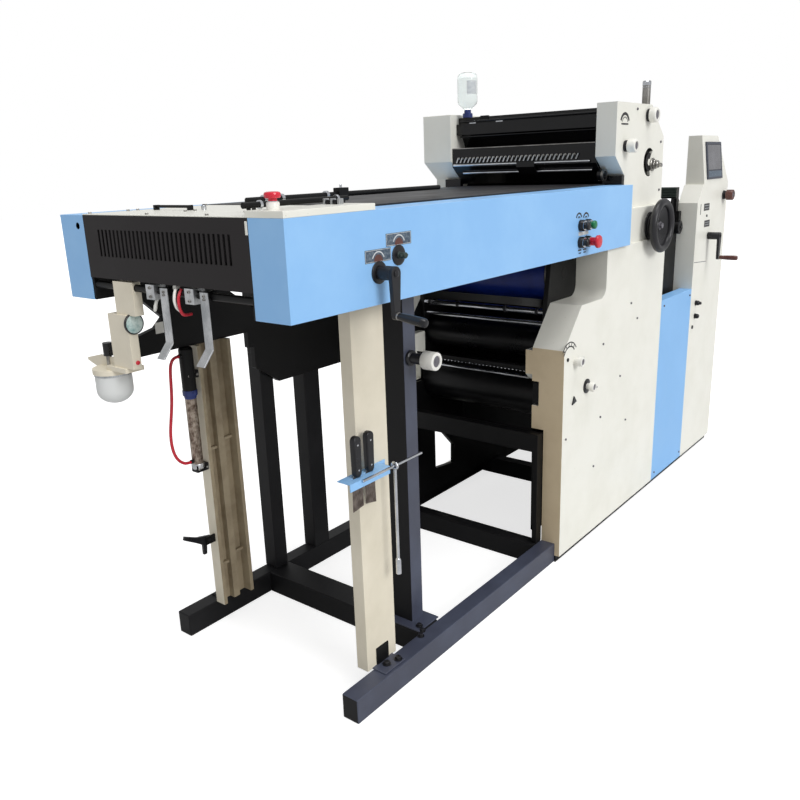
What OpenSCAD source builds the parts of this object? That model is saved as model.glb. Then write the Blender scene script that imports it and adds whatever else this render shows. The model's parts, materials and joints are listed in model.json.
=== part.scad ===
// Small two-unit sheet-fed offset press with a chain delivery.
// X runs along the machine towards the feeder, Y away from the operator, Z up from the floor.
// The origin is on the floor, on the centre line, under the middle of the front floor beam.

/* [Floor frame] */
// Half width across the outer faces of the floor rails
frame_out = 414; // [380:1:450]
// Width of a floor rail
rail_w = 60; // [50:1:70]
// Height of the floor rails and beams
rail_h = 80; // [60:1:100]
// Length of the rails ahead of the front floor beam
rail_front = 425; // [380:1:460]
// Width of the front floor beam along the machine
front_beam_w = 100; // [80:1:120]
// Width of the other floor beams along the machine
beam_w = 60; // [50:1:70]
// Width of a post along the machine
post_w = 60; // [50:1:70]
// Width of the second far post
wide_post_w = 82; // [70:1:90]
// Distance of the second far post from the first
post_pitch = 212; // [180:1:240]
// Distance of the near post's face from the centre line
near_post_y = 298; // [285:1:310]
// Depth of the near post
near_post_depth = 90; // [70:1:110]

/* [Delivery] */
// Front end of the delivery, ahead of the front floor beam
delivery_front = 615; // [580:1:650]
// Underside of the delivery covers above the floor
cover_z = 1202; // [1150:1:1250]
// Height of the delivery covers
cover_h = 234; // [210:1:260]
// Reach of the delivery covers past the floor rails
cover_over = 42; // [36:1:50]
// Depth of a delivery cover from its outer to its inner face
cover_d = 117; // [100:1:120]
// Sheet thickness of the delivery covers
cover_t = 3; // [2:0.5:5]
// Thickness of the black track plates
track_t = 8; // [5:1:10]
// Thickness of the black frame plate under the far track
plate_t = 23; // [18:1:30]
// Length of the delivery covers past the step in the side frames
cover_tail = 166; // [140:1:180]
// Thickness of the cap lid on the near cover
cap_t = 16; // [10:1:20]
// Length of the cap lid
cap_len = 309; // [250:1:340]
// Length of the pale front plate on top of the delivery
front_plate_len = 150; // [120:1:180]
// Height of the vented end panel
end_panel_h = 170; // [140:1:190]
// Number of slots in the end panel
slot_count = 31; // [20:1:34]
// Width of a slot in the end panel
slot_w = 9; // [6:0.5:11]
// Height of a slot in the end panel
slot_h = 72; // [50:1:90]
// Width of a chain guard along the machine
guard_w = 135; // [120:1:150]
// Depth of a chain guard
guard_d = 43; // [36:1:50]
// Front edge of the chain guards ahead of the front floor beam
guard_front = 305; // [290:1:320]

/* [Printing unit] */
// Front face of the side frames behind the front floor beam
unit_front = 761; // [740:1:780]
// Rear face of the side frames behind the front floor beam
unit_rear = 1716; // [1700:1:1740]
// Reach of the side frames past the floor rails
unit_over = 22; // [16:1:30]
// Thickness of the side frames
unit_t = 132; // [122:1:142]
// Thickness of the side frames below the step
unit_low_t = 80; // [76:1:88]
// Height of the step in the side frames
unit_step_z = 545; // [535:1:600]
// Thickness of the black inner plates
inner_t = 20; // [12:1:24]
// Gap between the housings and the floor
skirt_gap = 28; // [20:1:40]
// Top of the side frames above the floor
unit_top = 1200; // [1180:1:1202]
// Height of the gear cover on the side frame
gear_cover_h = 140; // [120:1:160]
// Inset of the gear cover from the side frame's outer face
gear_cover_inset = 11; // [5:1:20]
// Top of the head above the floor
head_top = 1747; // [1700:1:1790]
// Front face of the head behind the front floor beam
head_front = 1226; // [1200:1:1240]
// Inset of the near head wall from the side frame's outer face
head_inset = 38; // [32:1:44]
// Thickness of the near head wall
head_near_t = 84; // [70:1:90]
// Distance of the far head wall's inner face from the side frame's outer face
head_far_inset = 58; // [46:1:70]
// Thickness of the far head wall and reach of the drive cover
head_far_t = 151; // [130:1:160]
// Number of ink keys along the fountain
key_count = 30; // [20:1:34]
// Diameter of the lower cylinder
cylinder_d = 220; // [180:1:240]
// Diameter of its journals
journal_d = 50; // [40:1:60]
// Diameter of the handwheel
wheel_d = 225; // [180:1:240]
// Diameter of the handwheel's rim
wheel_rim_d = 32; // [22:1:36]
// Distance of the handwheel's rim from the gear cover
wheel_reach = 55; // [45:1:65]
// Distance of the step in the side frames from the front floor beam
unit_step_x = 1107; // [1090:1:1125]
// Radius of the fillet in that step
unit_step_r = 45; // [20:1:60]

/* [Feeder] */
// Front face of the feeder columns behind the front floor beam
feeder_front = 2116; // [2080:1:2150]
// Length of the feeder columns along the machine
feeder_len = 447; // [420:1:480]
// Thickness of the feeder columns
feeder_t = 93; // [85:1:110]
// Top of the columns' front edge above the floor
feeder_shoulder = 1320; // [1300:1:1340]
// Top of the control head above the floor
feeder_top = 1630; // [1600:1:1660]
// Top of the blue strip covers above the floor
strip_top = 908; // [860:1:950]
// Width of the screen
screen_w = 220; // [180:1:230]
// Height of the screen
screen_h = 176; // [150:1:190]

/* [Controls] */
// Diameter of the adjusting knobs
knob_d = 60; // [50:1:66]
// Reach of the adjusting knobs from their face
knob_len = 40; // [34:1:50]
// Diameter of the control shafts
shaft_d = 16; // [12:1:20]
// Diameter of a boss that carries a control shaft
boss_d = 57; // [50:1:62]
// Throw of the cranks
crank_throw = 105; // [90:1:115]
// Diameter of a crank's hub
crank_hub_d = 36; // [30:1:44]
// Length of the crank grips
grip_len = 92; // [80:1:100]

/* [Hidden] */
$fn = 48;
// Radial clearance of a shaft in its bore
run_fit = 0.05;
// Gap between pieces that lie close without touching
seat_gap = 0.3;
// Gap behind a turning head or hub
turn_gap = 1;
// Depth that a cutter reaches past the face it opens
cut = 1;

rail_in = frame_out - rail_w;
post_x = -15;
cover_out = frame_out + cover_over;
cover_top = cover_z + cover_h;
cover_in = cover_out - cover_d;
cover_end = unit_step_x + cover_tail;
track_in = cover_in - track_t;
guard_x = -guard_front;
guard_out = rail_in - 2;
guard_in = guard_out - guard_d;
arm_z = 1010;
foot_t = 5;

unit_out = frame_out + unit_over;
unit_in = unit_out - unit_t;
unit_low_in = unit_out - unit_low_t;
unit_shelf_z = unit_top - 186;
gear_top = unit_top + gear_cover_h;
gear_out = unit_out - gear_cover_inset;
inner_in = unit_in - inner_t;
cheek_in = unit_in - 29;
cheek_x = unit_front + 99;
latch_z = 638;
cheek_z = 734;
portal_x0 = unit_front - 41;
portal_leg_w = 20;
portal_beam_z = 462;
portal_beam_h = 73;

head_near_out = unit_out - head_inset;
head_near_in = head_near_out - head_near_t;
head_far_in = unit_out - head_far_inset;
head_far_out = head_far_in + head_far_t;
head_nose_z = head_top - 201;
head_neck_x = head_front + 96;
head_neck_z = head_top - 277;
fountain_x = head_front + 10;
fountain_z = head_top - 144;

feeder_rear = feeder_front + feeder_len;
feeder_in = unit_out - feeder_t;
feeder_neck_z = feeder_shoulder + 83;
rail_end = feeder_rear - 13;
board_z = unit_top - 80;
board_in = feeder_in - 10;
bridge_z = feeder_shoulder + 25;

// Places of the turning controls: [x, z]
wheel_at = [unit_rear - 168, gear_top - 82];
delivery_crank_at = [-delivery_front + 312, cover_z + 81];
spare_boss_at = delivery_crank_at + [80, 35];
feeder_crank_at = [feeder_rear - 263, feeder_shoulder - 169];
feeder_knob_at = [feeder_rear - 63, feeder_shoulder + 20];
upper_knob_at = [head_front + 310, head_top - 43];
lower_knob_at = [head_front + 89, head_top - 164];
slot_at = [head_front + 346, head_top - 229];
post_knob_at = [post_x + post_w / 2, cover_z - 223];
lower_cylinder_at = [unit_step_x - 97, unit_top - 85];
lever_at = [guard_x - 25, arm_z - 672];
air_at = [guard_x - 30, guard_out - 22];

boss_len = 4;
wheel_shaft_d = 25;
lever_pin_d = 10;
lever_t = 6;
cross_bar_x = -delivery_front + 15;
cross_bar_z = cover_z + 43;
cross_bar_d = 20;
bowl_at = [cross_bar_x, track_in - 11];
bowl_z = cover_z - 212;
hose_d = 10;

// Route of the hose beside the air cylinder
hose_route = [[-363, 330, 985], [-383, 330, 985], [-396, 330, 965], [-400, 330, 940], [-402, 330, 910],
    [-404, 330, 880], [-407, 330, 850], [-412, 330, 820], [-418, 330, 790], [-424, 330, 760],
    [-427, 330, 730], [-426, 330, 700], [-420, 330, 672], [-408, 330, 650], [-392, 330, 636],
    [-378, 330, 630], [-363, 330, 630]];

// Box from its low corner to its high corner
module span(a, b) { translate(a) cube(b - a); }

// Draws its children on the near side (-1) or the far side (1), from their far side form
module on_side(s) { if (s < 0) mirror([0, 1, 0]) children(); else children(); }

// Extrudes an XZ outline from y0 to y1
module xz_plate(points, y0, y1) {
    translate([0, y1, 0]) rotate([90, 0, 0]) linear_extrude(y1 - y0) polygon(points);
}

// Extrudes a YZ outline from x0 to x1
module yz_plate(points, x0, x1) {
    translate([x0, 0, 0]) rotate([90, 0, 90]) linear_extrude(x1 - x0) polygon(points);
}

// Round bar along Y from y0 to y1
module bar_y(x, z, d, y0, y1) { translate([x, y1, z]) rotate([90, 0, 0]) cylinder(d = d, h = y1 - y0); }

// Round bar along X from x0 to x1
module bar_x(y, z, d, x0, x1) { translate([x0, y, z]) rotate([0, 90, 0]) cylinder(d = d, h = x1 - x0); }

// Round bar along Z from z0 to z1
module bar_z(x, y, d, z0, z1) { translate([x, y, z0]) cylinder(d = d, h = z1 - z0); }

// Sets a form that stands along +Z on a face at y, pointing at the operator
module facing(at, y) { translate([at[0], y, at[1]]) rotate([90, 0, 0]) children(); }

// Bore along Y for a shaft of diameter d
module bore_y(at, d, y0, y1) { bar_y(at[0], at[1], d + 2 * run_fit, y0, y1); }

module floor_beam(x, w) { span([x - w / 2, -rail_in, 0], [x + w / 2, rail_in, rail_h]); }

module floor_frame() {
    color("#2f3a52") union() {
        for (s = [-1, 1]) on_side(s) span([-rail_front, rail_in, 0], [rail_end, frame_out, rail_h]);
        floor_beam(0, front_beam_w);
        for (x = [unit_front - 1 - beam_w / 2, unit_rear - 246, feeder_rear - 53]) floor_beam(x, beam_w);
    }
}

module frame_posts() {
    color("#3a4258") {
        difference() {
            span([post_x, -near_post_y, rail_h],
                [post_x + post_w, -near_post_y + near_post_depth, cover_z]);
            bore_y(post_knob_at, shaft_d, -near_post_y - cut, -near_post_y + 40);
        }
        span([post_x, rail_in, rail_h], [post_x + post_w, frame_out, cover_z]);
        span([post_x + post_pitch, rail_in, rail_h],
            [post_x + post_pitch + wide_post_w, frame_out, cover_z]);
    }
}

// Foot plate and its upright that hold a chain guard on its rail, drawn on the far side
module guard_foot() {
    span([guard_x + 20, guard_out, rail_h], [guard_x + guard_w - 20, frame_out - 10, rail_h + foot_t]);
    span([guard_x + 40, guard_out, rail_h], [guard_x + guard_w - 40, guard_out + foot_t, rail_h + 60]);
}

module near_chain_guard() {
    color("#ddd6c4") mirror([0, 1, 0]) union() {
        span([guard_x, guard_in, rail_h], [guard_x + guard_w, guard_out, cover_z]);
        guard_foot();
    }
}

module far_chain_guard() {
    lip = 14;
    back = 7;
    web = 26;
    mid = guard_x + guard_w / 2;
    ear_y = air_at[1] - lever_t / 2;
    color("#ddd6c4") difference() {
        union() {
            span([guard_x, guard_in, rail_h], [guard_x + guard_w, guard_out, arm_z]);
            guard_foot();
            span([lever_at[0] - 12, ear_y - lever_t, lever_at[1] - 14],
                [guard_x, ear_y, lever_at[1] + 14]);
        }
        span([guard_x + lip, guard_in - cut, rail_h - cut],
            [mid - web / 2, guard_out - back, arm_z + cut]);
        span([mid + web / 2, guard_in - cut, rail_h - cut],
            [guard_x + guard_w - lip, guard_out - back, arm_z + cut]);
        span([mid - web / 2 - cut, guard_in - cut, rail_h - cut],
            [mid + web / 2 + cut, guard_in + 12, arm_z + cut]);
        bore_y(lever_at, lever_pin_d, ear_y - lever_t - cut, ear_y + cut);
    }
}

// Far frame plate: an arm ahead of the posts, a deep web behind them and the window between
module frame_plate() {
    x0 = -delivery_front + 103;
    low_z = cover_z - 394;
    arm_end = guard_x + guard_w + 96;
    post_end = post_x + 70;
    gap_x = guard_x + guard_w - 20;
    difference() {
        xz_plate([[x0 + 20, cover_z], [x0 + 112, cover_z - 87], [x0 + 82, cover_z - 114],
            [x0, cover_z - 133], [x0 + 12, arm_z], [arm_end, arm_z], [arm_end, arm_z - 55],
            [arm_end + 24, arm_z - 55], [arm_end + 24, low_z + 72], [post_end, low_z],
            [unit_front, low_z], [unit_front, cover_z]], rail_in - plate_t, rail_in);
        xz_plate([[gap_x, cover_z + cut], [gap_x, cover_z], [post_x - 25, cover_z - 112],
            [post_x - 25, cover_z + cut]], rail_in - plate_t - cut, rail_in + cut);
    }
}

module track_plates() {
    color("#1b1b1d") {
        for (s = [-1, 1]) on_side(s)
            span([-delivery_front + cover_t, track_in, cover_z], [cover_end, cover_in, cover_top]);
        frame_plate();
    }
}

// One delivery cover, a sheet box open towards the track, drawn on the far side
module delivery_cover() {
    difference() {
        span([-delivery_front, cover_in, cover_z], [cover_end, cover_out, cover_top]);
        span([-delivery_front + cover_t, cover_in - cut, cover_z + cover_t],
            [cover_end - cover_t, cover_out - cover_t, cover_top - cover_t]);
    }
}

module delivery_covers() {
    color("#84b5ea") {
        difference() {
            on_side(-1) delivery_cover();
            bore_y(delivery_crank_at, shaft_d, -cover_out - cut, -cover_out + cover_t + cut);
        }
        difference() {
            on_side(1) delivery_cover();
            bar_x(cover_out - 86, cover_top - 30, 18, -delivery_front - cut,
                -delivery_front + cover_t + cut);
        }
    }
}

// Sheet panel between the covers with a row of upright slots, centred on the machine
module delivery_end_panel() {
    pitch = 2 * slot_w;
    slot_z = cover_top - 110;
    color("#1b1b1d") difference() {
        span([-delivery_front, -cover_in, cover_top - end_panel_h],
            [-delivery_front + cover_t, cover_in, cover_top]);
        for (i = [0 : slot_count - 1])
            translate([-delivery_front - cut, (i - (slot_count - 1) / 2) * pitch - slot_w / 2, slot_z])
                cube([cover_t + 2 * cut, slot_w, slot_h]);
    }
}

module delivery_top_cover() {
    panels = 3;
    x0 = -delivery_front + 430;
    pitch = (cover_end - x0) / panels;
    color("#26262a") for (i = [0 : panels - 1])
        span([x0 + i * pitch, -cover_in, cover_top], [x0 + (i + 1) * pitch - 2, cover_in, cover_top + 5]);
}

module delivery_lids() {
    x1 = -delivery_front + front_plate_len;
    color("#e7e2d2") {
        span([-delivery_front, -cover_out, cover_top],
            [-delivery_front + cap_len, -track_in, cover_top + cap_t]);
        span([-delivery_front, -track_in, cover_top], [x1, cover_in, cover_top + cover_t]);
        span([x1 + 3, -track_in, cover_top], [-delivery_front + 428, cover_in, cover_top + cover_t]);
    }
}

// Push button, its collar on a face at the origin and its head along +Z
module push_button(collar_d, collar, head_d, reach) {
    stem = head_d * 0.36;
    rotate_extrude() polygon([[0, 0], [collar_d / 2, 0], [collar_d / 2, collar - 2],
        [collar_d / 2 - 2, collar], [stem, collar], [stem, reach - 16], [head_d / 2 - 1, reach - 10],
        [head_d / 2, reach - 3], [head_d / 2 - 3, reach], [0, reach]]);
}

module push_buttons() {
    upper_z = cover_z + 111;
    lower_z = cover_z + 52;
    left_x = unit_step_x - 287;
    right_x = unit_step_x - 239;
    color("#d3222c") {
        translate([-delivery_front + 29, -cover_out + 60, cover_top + cap_t]) push_button(30, 18, 38, 40);
        facing([left_x, upper_z], -cover_out) push_button(36, 18, 26, 36);
        facing([right_x, upper_z], -cover_out) push_button(36, 18, 30, 38);
        facing([left_x, lower_z], -cover_out) push_button(36, 18, 26, 36);
        facing([right_x, lower_z], -cover_out) push_button(36, 18, 46, 56);
    }
}

// Round rod along the delivery on upright posts
module carried_rod(y, z, d, x0, x1, posts, base_z) {
    union() {
        bar_x(y, z, d, x0, x1);
        for (x = posts) bar_z(x, y, 10, base_z, z);
    }
}

module delivery_bars() {
    rod_d = 14;
    lid_z = cover_top + cover_t;
    handle_x = -delivery_front + 185;
    color("#1f1f22") {
        span([post_x, -track_in, cover_z], [post_x + post_w, track_in, cover_z + 40]);
        union() {
            bar_y(cross_bar_x, cross_bar_z, cross_bar_d, -track_in, track_in);
            for (y = [60, -103]) span([cross_bar_x - 18, y - 18, cross_bar_z - 22],
                [cross_bar_x + 18, y + 18, cross_bar_z + 17]);
            for (y = [-2, -164]) span([cross_bar_x - 18, y - 9, cross_bar_z - 14],
                [cross_bar_x + 14, y + 9, cross_bar_z + 14]);
        }
        carried_rod(-235, cover_top + 33, rod_d, -delivery_front + 94, unit_front - 491, [-500, -225],
            lid_z);
        carried_rod(-track_in + 12, cover_top + 26, rod_d, -delivery_front + 8, -255, [-590, -270],
            lid_z);
        union() {
            bar_y(handle_x, lid_z + 10, 8, 100, 262);
            for (y = [104, 258]) span([handle_x - 8, y - 4, lid_z], [handle_x + 8, y + 4, lid_z + 14]);
        }
        bar_z(handle_x + 24, 75, 8, lid_z, lid_z + 15);
    }
}

module sheet_stops() {
    face_x = cross_bar_x - 18;
    tip_z = cover_z - 88;
    color("#c9ccd0") for (y = [-2, -164])
        xz_plate([[face_x - 3, cross_bar_z + 12], [face_x, cross_bar_z + 12], [face_x, tip_z],
            [face_x - 32, tip_z - 38], [face_x - 36, tip_z - 36], [face_x - 3, tip_z + 2]], y - 15, y + 15);
}

module powder_bracket() {
    x0 = cross_bar_x - 22;
    flange = 15;
    joint_z = cover_z - 32;
    foot_z = bowl_z + flange + 13;
    far_y = bowl_at[1] - 50;
    knob_y = bowl_at[1] + 10;
    color("#ddd6c4") difference() {
        union() {
            span([x0 + 6, far_y - 125, joint_z], [x0 + 34, far_y - 37, cross_bar_z + 16]);
            span([x0, far_y - 92, foot_z], [x0 + 28, far_y, joint_z]);
            span([x0 - 8, far_y - 65, bowl_z + flange], [x0 + 52, far_y + 30, foot_z]);
            bar_z(bowl_at[0], bowl_at[1], 112, bowl_z, bowl_z + flange);
            yz_plate([[far_y + 30, bowl_z + 45], [far_y + 102, bowl_z + 46], [far_y + 171, bowl_z + 30],
                [far_y + 171, bowl_z + 22], [far_y + 102, bowl_z + 1], [far_y + 30, bowl_z + 1]],
                bowl_at[0] - 3, bowl_at[0] + 3);
            bar_z(bowl_at[0], knob_y, 16, bowl_z + flange, bowl_z + 50);
            bar_z(bowl_at[0], knob_y, 28, bowl_z + 48, bowl_z + 86);
        }
        bar_y(cross_bar_x, cross_bar_z, cross_bar_d + 2 * seat_gap, far_y - 130, far_y - 30);
    }
}

// Hanging cup with a round bottom, open at the top under the flange
module powder_bowl() {
    r = 52;
    wall = 4;
    base_z = bowl_z - 45;
    color("#e8eaea") translate([bowl_at[0], bowl_at[1], 0]) rotate_extrude() difference() {
        union() {
            translate([0, base_z]) square([r, 45]);
            translate([0, base_z]) scale([1, 0.92]) intersection() {
                circle(r = r);
                translate([0, -60]) square([60, 60]);
            }
        }
        translate([0, base_z - 2]) square([r - wall, 60]);
        translate([0, base_z]) scale([1, 0.9]) circle(r = r - wall);
        translate([-60, base_z - 100]) square([60, 300]);
    }
}

// Cylinder with a collar between its dark head and its bare tube, on a clamp from the far guard
module air_cylinder() {
    low = arm_z - 410;
    mid = arm_z - 158;
    color("#8d9096") union() {
        translate([air_at[0], air_at[1], 0]) rotate_extrude() polygon([[0, low], [17, low], [20, low + 4],
            [20, low + 16], [18.5, low + 20], [18.5, mid - 8], [20, mid - 4], [20, mid], [24, mid],
            [24, mid + 18], [22.5, mid + 18], [22.5, arm_z - 6], [18, arm_z], [0, arm_z]]);
        for (z = [low - 10, mid + 55]) span([air_at[0] - 16, air_at[1] - 16, z],
            [guard_x, air_at[1] + 16, z + 25]);
        for (z = [low + 30, arm_z - 25]) bar_x(air_at[1], z, 14, air_at[0] - 28, air_at[0]);
    }
}

// Ring of points round a route point, square to the route, which lies in a plane of constant y
function ring(p, t, r, n) = let (u = [t[2], 0, -t[0]] / norm([t[2], 0, -t[0]]))
    [for (i = [0 : n - 1]) p + r * cos(360 * i / n) * u + [0, r * sin(360 * i / n), 0]];
// Direction of a route at its point i
function heading(route, i) = route[min(i + 1, len(route) - 1)] - route[max(i - 1, 0)];

module tube(route, d, n) {
    m = len(route);
    points = [for (i = [0 : m - 1]) each ring(route[i], heading(route, i), d / 2, n)];
    sides = [for (i = [0 : m - 2]) for (j = [0 : n - 1])
        [i * n + j, i * n + (j + 1) % n, (i + 1) * n + (j + 1) % n, (i + 1) * n + j]];
    polyhedron(points, concat([[for (j = [n - 1 : -1 : 0]) j]],
        sides, [[for (j = [0 : n - 1]) (m - 1) * n + j]]));
}

module air_hose() { color("#d3222c") tube(hose_route, hose_d, 8); }

module release_lever() {
    x = lever_at[0];
    z = lever_at[1];
    y = air_at[1] - lever_t / 2;
    color("#1f1f22") union() {
        bar_y(x, z, lever_pin_d, y - lever_t, y + 11);
        xz_plate([[x + 12, z - 12], [x + 12, z + 12], [x - 42, z + 24], [x - 90, z + 46],
            [x - 94, z + 34], [x - 48, z + 6], [x - 22, z - 12], [x - 22, z - 48], [x - 10, z - 48],
            [x - 6, z - 14]], y + seat_gap, y + 11);
    }
}

// Crank that turns on a face at y: shaft, hub, tapered arm with round ends, and a grip that widens
// outwards and leans down by the angle droop
module crank(at, y, depth, hub, droop) {
    arm_t = 12;
    arm_y = y - turn_gap - hub;
    end_d = 22;
    low = at[1] - crank_throw;
    root_w = crank_hub_d * 0.84;
    tip_w = end_d * 0.96;
    union() {
        bar_y(at[0], at[1], shaft_d, arm_y, y + depth);
        bar_y(at[0], at[1], crank_hub_d, arm_y - arm_t, y - turn_gap);
        xz_plate([[at[0] - root_w / 2, at[1]], [at[0] - tip_w / 2, low], [at[0] + tip_w / 2, low],
            [at[0] + root_w / 2, at[1]]], arm_y - arm_t, arm_y);
        bar_y(at[0], low, end_d, arm_y - arm_t, arm_y);
        facing([at[0], low], arm_y - arm_t + 4) rotate([droop, 0, 0]) rotate_extrude() polygon([[0, 0],
            [8, 0], [9, 6], [12, grip_len * 0.8], [11.5, grip_len - 3], [8, grip_len], [0, grip_len]]);
    }
}

module delivery_crank() {
    color("#1f1f22") crank(delivery_crank_at, -cover_out - boss_len, boss_len + cover_d - seat_gap, 39, 7);
}

// Boss with a bevelled edge on a face at y
module boss(at, y, d, h) {
    bevel = min(3, h / 2);
    facing(at, y) rotate_extrude() polygon([[0, 0], [d / 2, 0], [d / 2, h - bevel], [d / 2 - bevel, h],
        [0, h]]);
}

module control_bosses() {
    color("#242428") {
        difference() {
            boss(delivery_crank_at, -cover_out, boss_d, boss_len);
            bore_y(delivery_crank_at, shaft_d, -cover_out - boss_len - cut, -cover_out + cut);
        }
        union() {
            boss(spare_boss_at, -cover_out, boss_d - 5, boss_len);
            boss(spare_boss_at, -cover_out - boss_len, shaft_d, 22);
        }
        for (z = [feeder_shoulder - 492, feeder_shoulder - 559])
            boss([feeder_front + 72, z], -unit_out, 26, 20);
    }
}

module tool_rack() {
    z = cover_z - 477;
    y = -guard_out;
    x0 = guard_x - 85;
    color("#84b5ea") difference() {
        union() {
            span([guard_x - 15, y - 3, z - 35], [guard_x + guard_w - 20, y, z + 3]);
            span([x0, y - 48, z], [x0 + 168, y, z + 3]);
            span([x0, y - 48, z - 20], [x0 + 168, y - 45, z + 3]);
        }
        for (x = [x0 + 51, x0 + 104]) span([x - 24, y - 29, z - 40], [x + 24, y - 25, z + 10]);
    }
    color("#c9ccd0") bar_x(y - 52, z - 1, 8, guard_x - 40, guard_x + 225);
}

module hanging_tools() {
    z = cover_z - 474;
    y = -guard_out;
    x0 = guard_x - 85;
    hook = x0 + 185;
    color("#1f1f22") {
        for (x = [x0 + 51, x0 + 104]) union() {
            span([x - 22, y - 28, z - 97], [x + 22, y - 26, z + 10]);
            span([x - 15, y - 36, z], [x + 15, y - 18, z + 118]);
        }
        difference() {
            union() {
                bar_z(hook, y - 52, 14, z - 345, z - 17);
                bar_x(y - 52, z - 4, 30, hook - 6, hook + 6);
            }
            bar_x(y - 52, z - 4, 8 + 2 * seat_gap, hook - 10, hook + 10);
        }
    }
}

// Outline of a side frame below its top
module side_frame_outline() {
    polygon([[unit_front, skirt_gap], [unit_front, unit_shelf_z - 150], [unit_front + 133, unit_shelf_z],
        [unit_step_x, unit_shelf_z], [unit_step_x, unit_top], [unit_rear, unit_top],
        [unit_rear, skirt_gap]]);
    translate([unit_step_x - unit_step_r, unit_shelf_z]) difference() {
        square(unit_step_r);
        translate([0, unit_step_r]) circle(r = unit_step_r);
    }
}

// Side frame with its cheek, its latch pocket and its skirt over the floor rail, drawn on the far side
module side_frame() {
    difference() {
        union() {
            translate([0, unit_out, 0]) rotate([90, 0, 0]) linear_extrude(unit_out - unit_in)
                side_frame_outline();
            xz_plate([[unit_front, cheek_z + 26], [unit_front + 30, cheek_z], [cheek_x, cheek_z],
                [cheek_x, cheek_z + 119], [unit_front, cheek_z + 119]], cheek_in, unit_in);
        }
        span([unit_front - cut, unit_in - cut, 0], [unit_rear + cut, unit_low_in, unit_step_z]);
        span([unit_front - cut, unit_in - cut, latch_z], [cheek_x + cut, unit_in + 29, cheek_z]);
        span([unit_front - cut, unit_low_in - cut, 0], [unit_rear + cut, frame_out + cut, rail_h]);
    }
}

module near_side_frame() { color("#eeeadd") on_side(-1) side_frame(); }

module far_side_frame() {
    x = unit_front + 259;
    z = rail_h + 15;
    color("#eeeadd") difference() {
        side_frame();
        span([x, unit_low_in - cut, z], [x + 290, unit_out + cut, z + 255]);
    }
}

// Portal that ties the front of the side frames, with a leg against each floor rail
module portal() {
    for (s = [-1, 1]) on_side(s)
        span([portal_x0, rail_in - portal_leg_w, rail_h], [unit_front, rail_in, portal_beam_z]);
    span([portal_x0, -rail_in, portal_beam_z], [unit_front, rail_in, portal_beam_z + portal_beam_h]);
}

module inner_frames() {
    x0 = unit_front + 40;
    x1 = unit_step_x - 207;
    low = rail_h + 10;
    top = unit_top - 5;
    window = [[171, 194], [317, 177], [319, 267], [209, 378], [171, 387]];
    color("#1b1b1d") {
        union() portal();
        union() {
            for (s = [-1, 1]) on_side(s) difference() {
                xz_plate([[x0, low], [x0, latch_z - 4], [cheek_x + 10, latch_z - 4],
                    [cheek_x + 10, unit_shelf_z - 14], [x1, top], [unit_rear, top], [unit_rear, low]],
                    inner_in, unit_in);
                bore_y(lower_cylinder_at, journal_d, inner_in - cut, unit_in + cut);
                if (s > 0) xz_plate([for (p = window) p + [unit_front, 0]], inner_in - cut, unit_in + cut);
            }
            span([unit_step_x + 53, -inner_in, portal_beam_z - 82],
                [unit_step_x + 57, inner_in, arm_z - 70]);
        }
        for (s = [-1, 1]) on_side(s)
            span([unit_front + 2, unit_in + 2, latch_z + 6], [unit_front + 38, unit_in + 29, cheek_z - 6]);
    }
}

module near_gear_cover() {
    color("#eeeadd") difference() {
        span([cover_end, -gear_out, unit_top], [unit_rear, -unit_in, gear_top]);
        bore_y(wheel_at, wheel_shaft_d, -gear_out - cut, -gear_out + 60);
    }
}

module far_drive_cover() {
    color("#eeeadd") union() {
        span([cover_end, unit_in, unit_top], [unit_rear, unit_out, gear_top]);
        xz_plate([[cover_end, 340], [cover_end + 40, 300], [unit_rear - 40, 300], [unit_rear, 340],
            [unit_rear, gear_top], [cover_end, gear_top]], unit_out, head_far_out);
    }
}

// Outline of a head wall
module head_outline() {
    polygon([[head_neck_x, gear_top], [head_neck_x, head_neck_z], [head_front, head_nose_z],
        [head_front, head_top], [head_front + 351, head_top], [unit_rear + 9, head_top - 125],
        [unit_rear + 18, gear_top + 22], [unit_rear, gear_top]]);
}

module head_wall(y0, y1) {
    translate([0, y1, 0]) rotate([90, 0, 0]) linear_extrude(y1 - y0) head_outline();
}

module near_head_wall() {
    groove = 14;
    color("#eeeadd") difference() {
        head_wall(-head_near_out, -head_near_in);
        for (at = [upper_knob_at, lower_knob_at])
            bore_y(at, shaft_d, -head_near_out - cut, -head_near_out + 50);
        facing(slot_at, -head_near_out + groove) difference() {
            cylinder(d = 115, h = groove + cut);
            translate([0, 0, -cut]) cylinder(d = 74, h = groove + 3 * cut);
        }
    }
    color("#d6d8dc") {
        bar_y(slot_at[0] + 41, slot_at[1] - 14, 14, -head_near_out - 42, -head_near_out + groove);
        bar_z(head_front + 325, -head_near_out + 18, 33, head_top, head_top + 91);
    }
}

module far_head_wall() { color("#eeeadd") head_wall(head_far_in, head_far_out); }

// Guard over the fountain: a top sheet, a step and a hanging lip, with the blocks before the walls' necks
module ink_guard() {
    x = head_front + 64;
    top = head_top - 14;
    color("#1b1b1d") {
        xz_plate([[x, top], [x + 280, top], [x + 280, top - 6], [x + 10, top - 6], [x + 10, top - 36],
            [x + 60, top - 131], [x + 54, top - 133], [x + 4, top - 40], [x - 14, top - 40],
            [x - 14, top - 73], [x - 20, top - 73], [x - 20, top - 27], [x, top - 27]],
            -head_near_in, head_far_in);
        span([head_neck_x - 24, -head_near_out, gear_top], [head_neck_x, -head_near_in, head_neck_z]);
        span([head_neck_x - 24, head_far_in, gear_top],
            [head_neck_x, head_far_in + head_near_t, head_neck_z]);
    }
}

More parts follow.
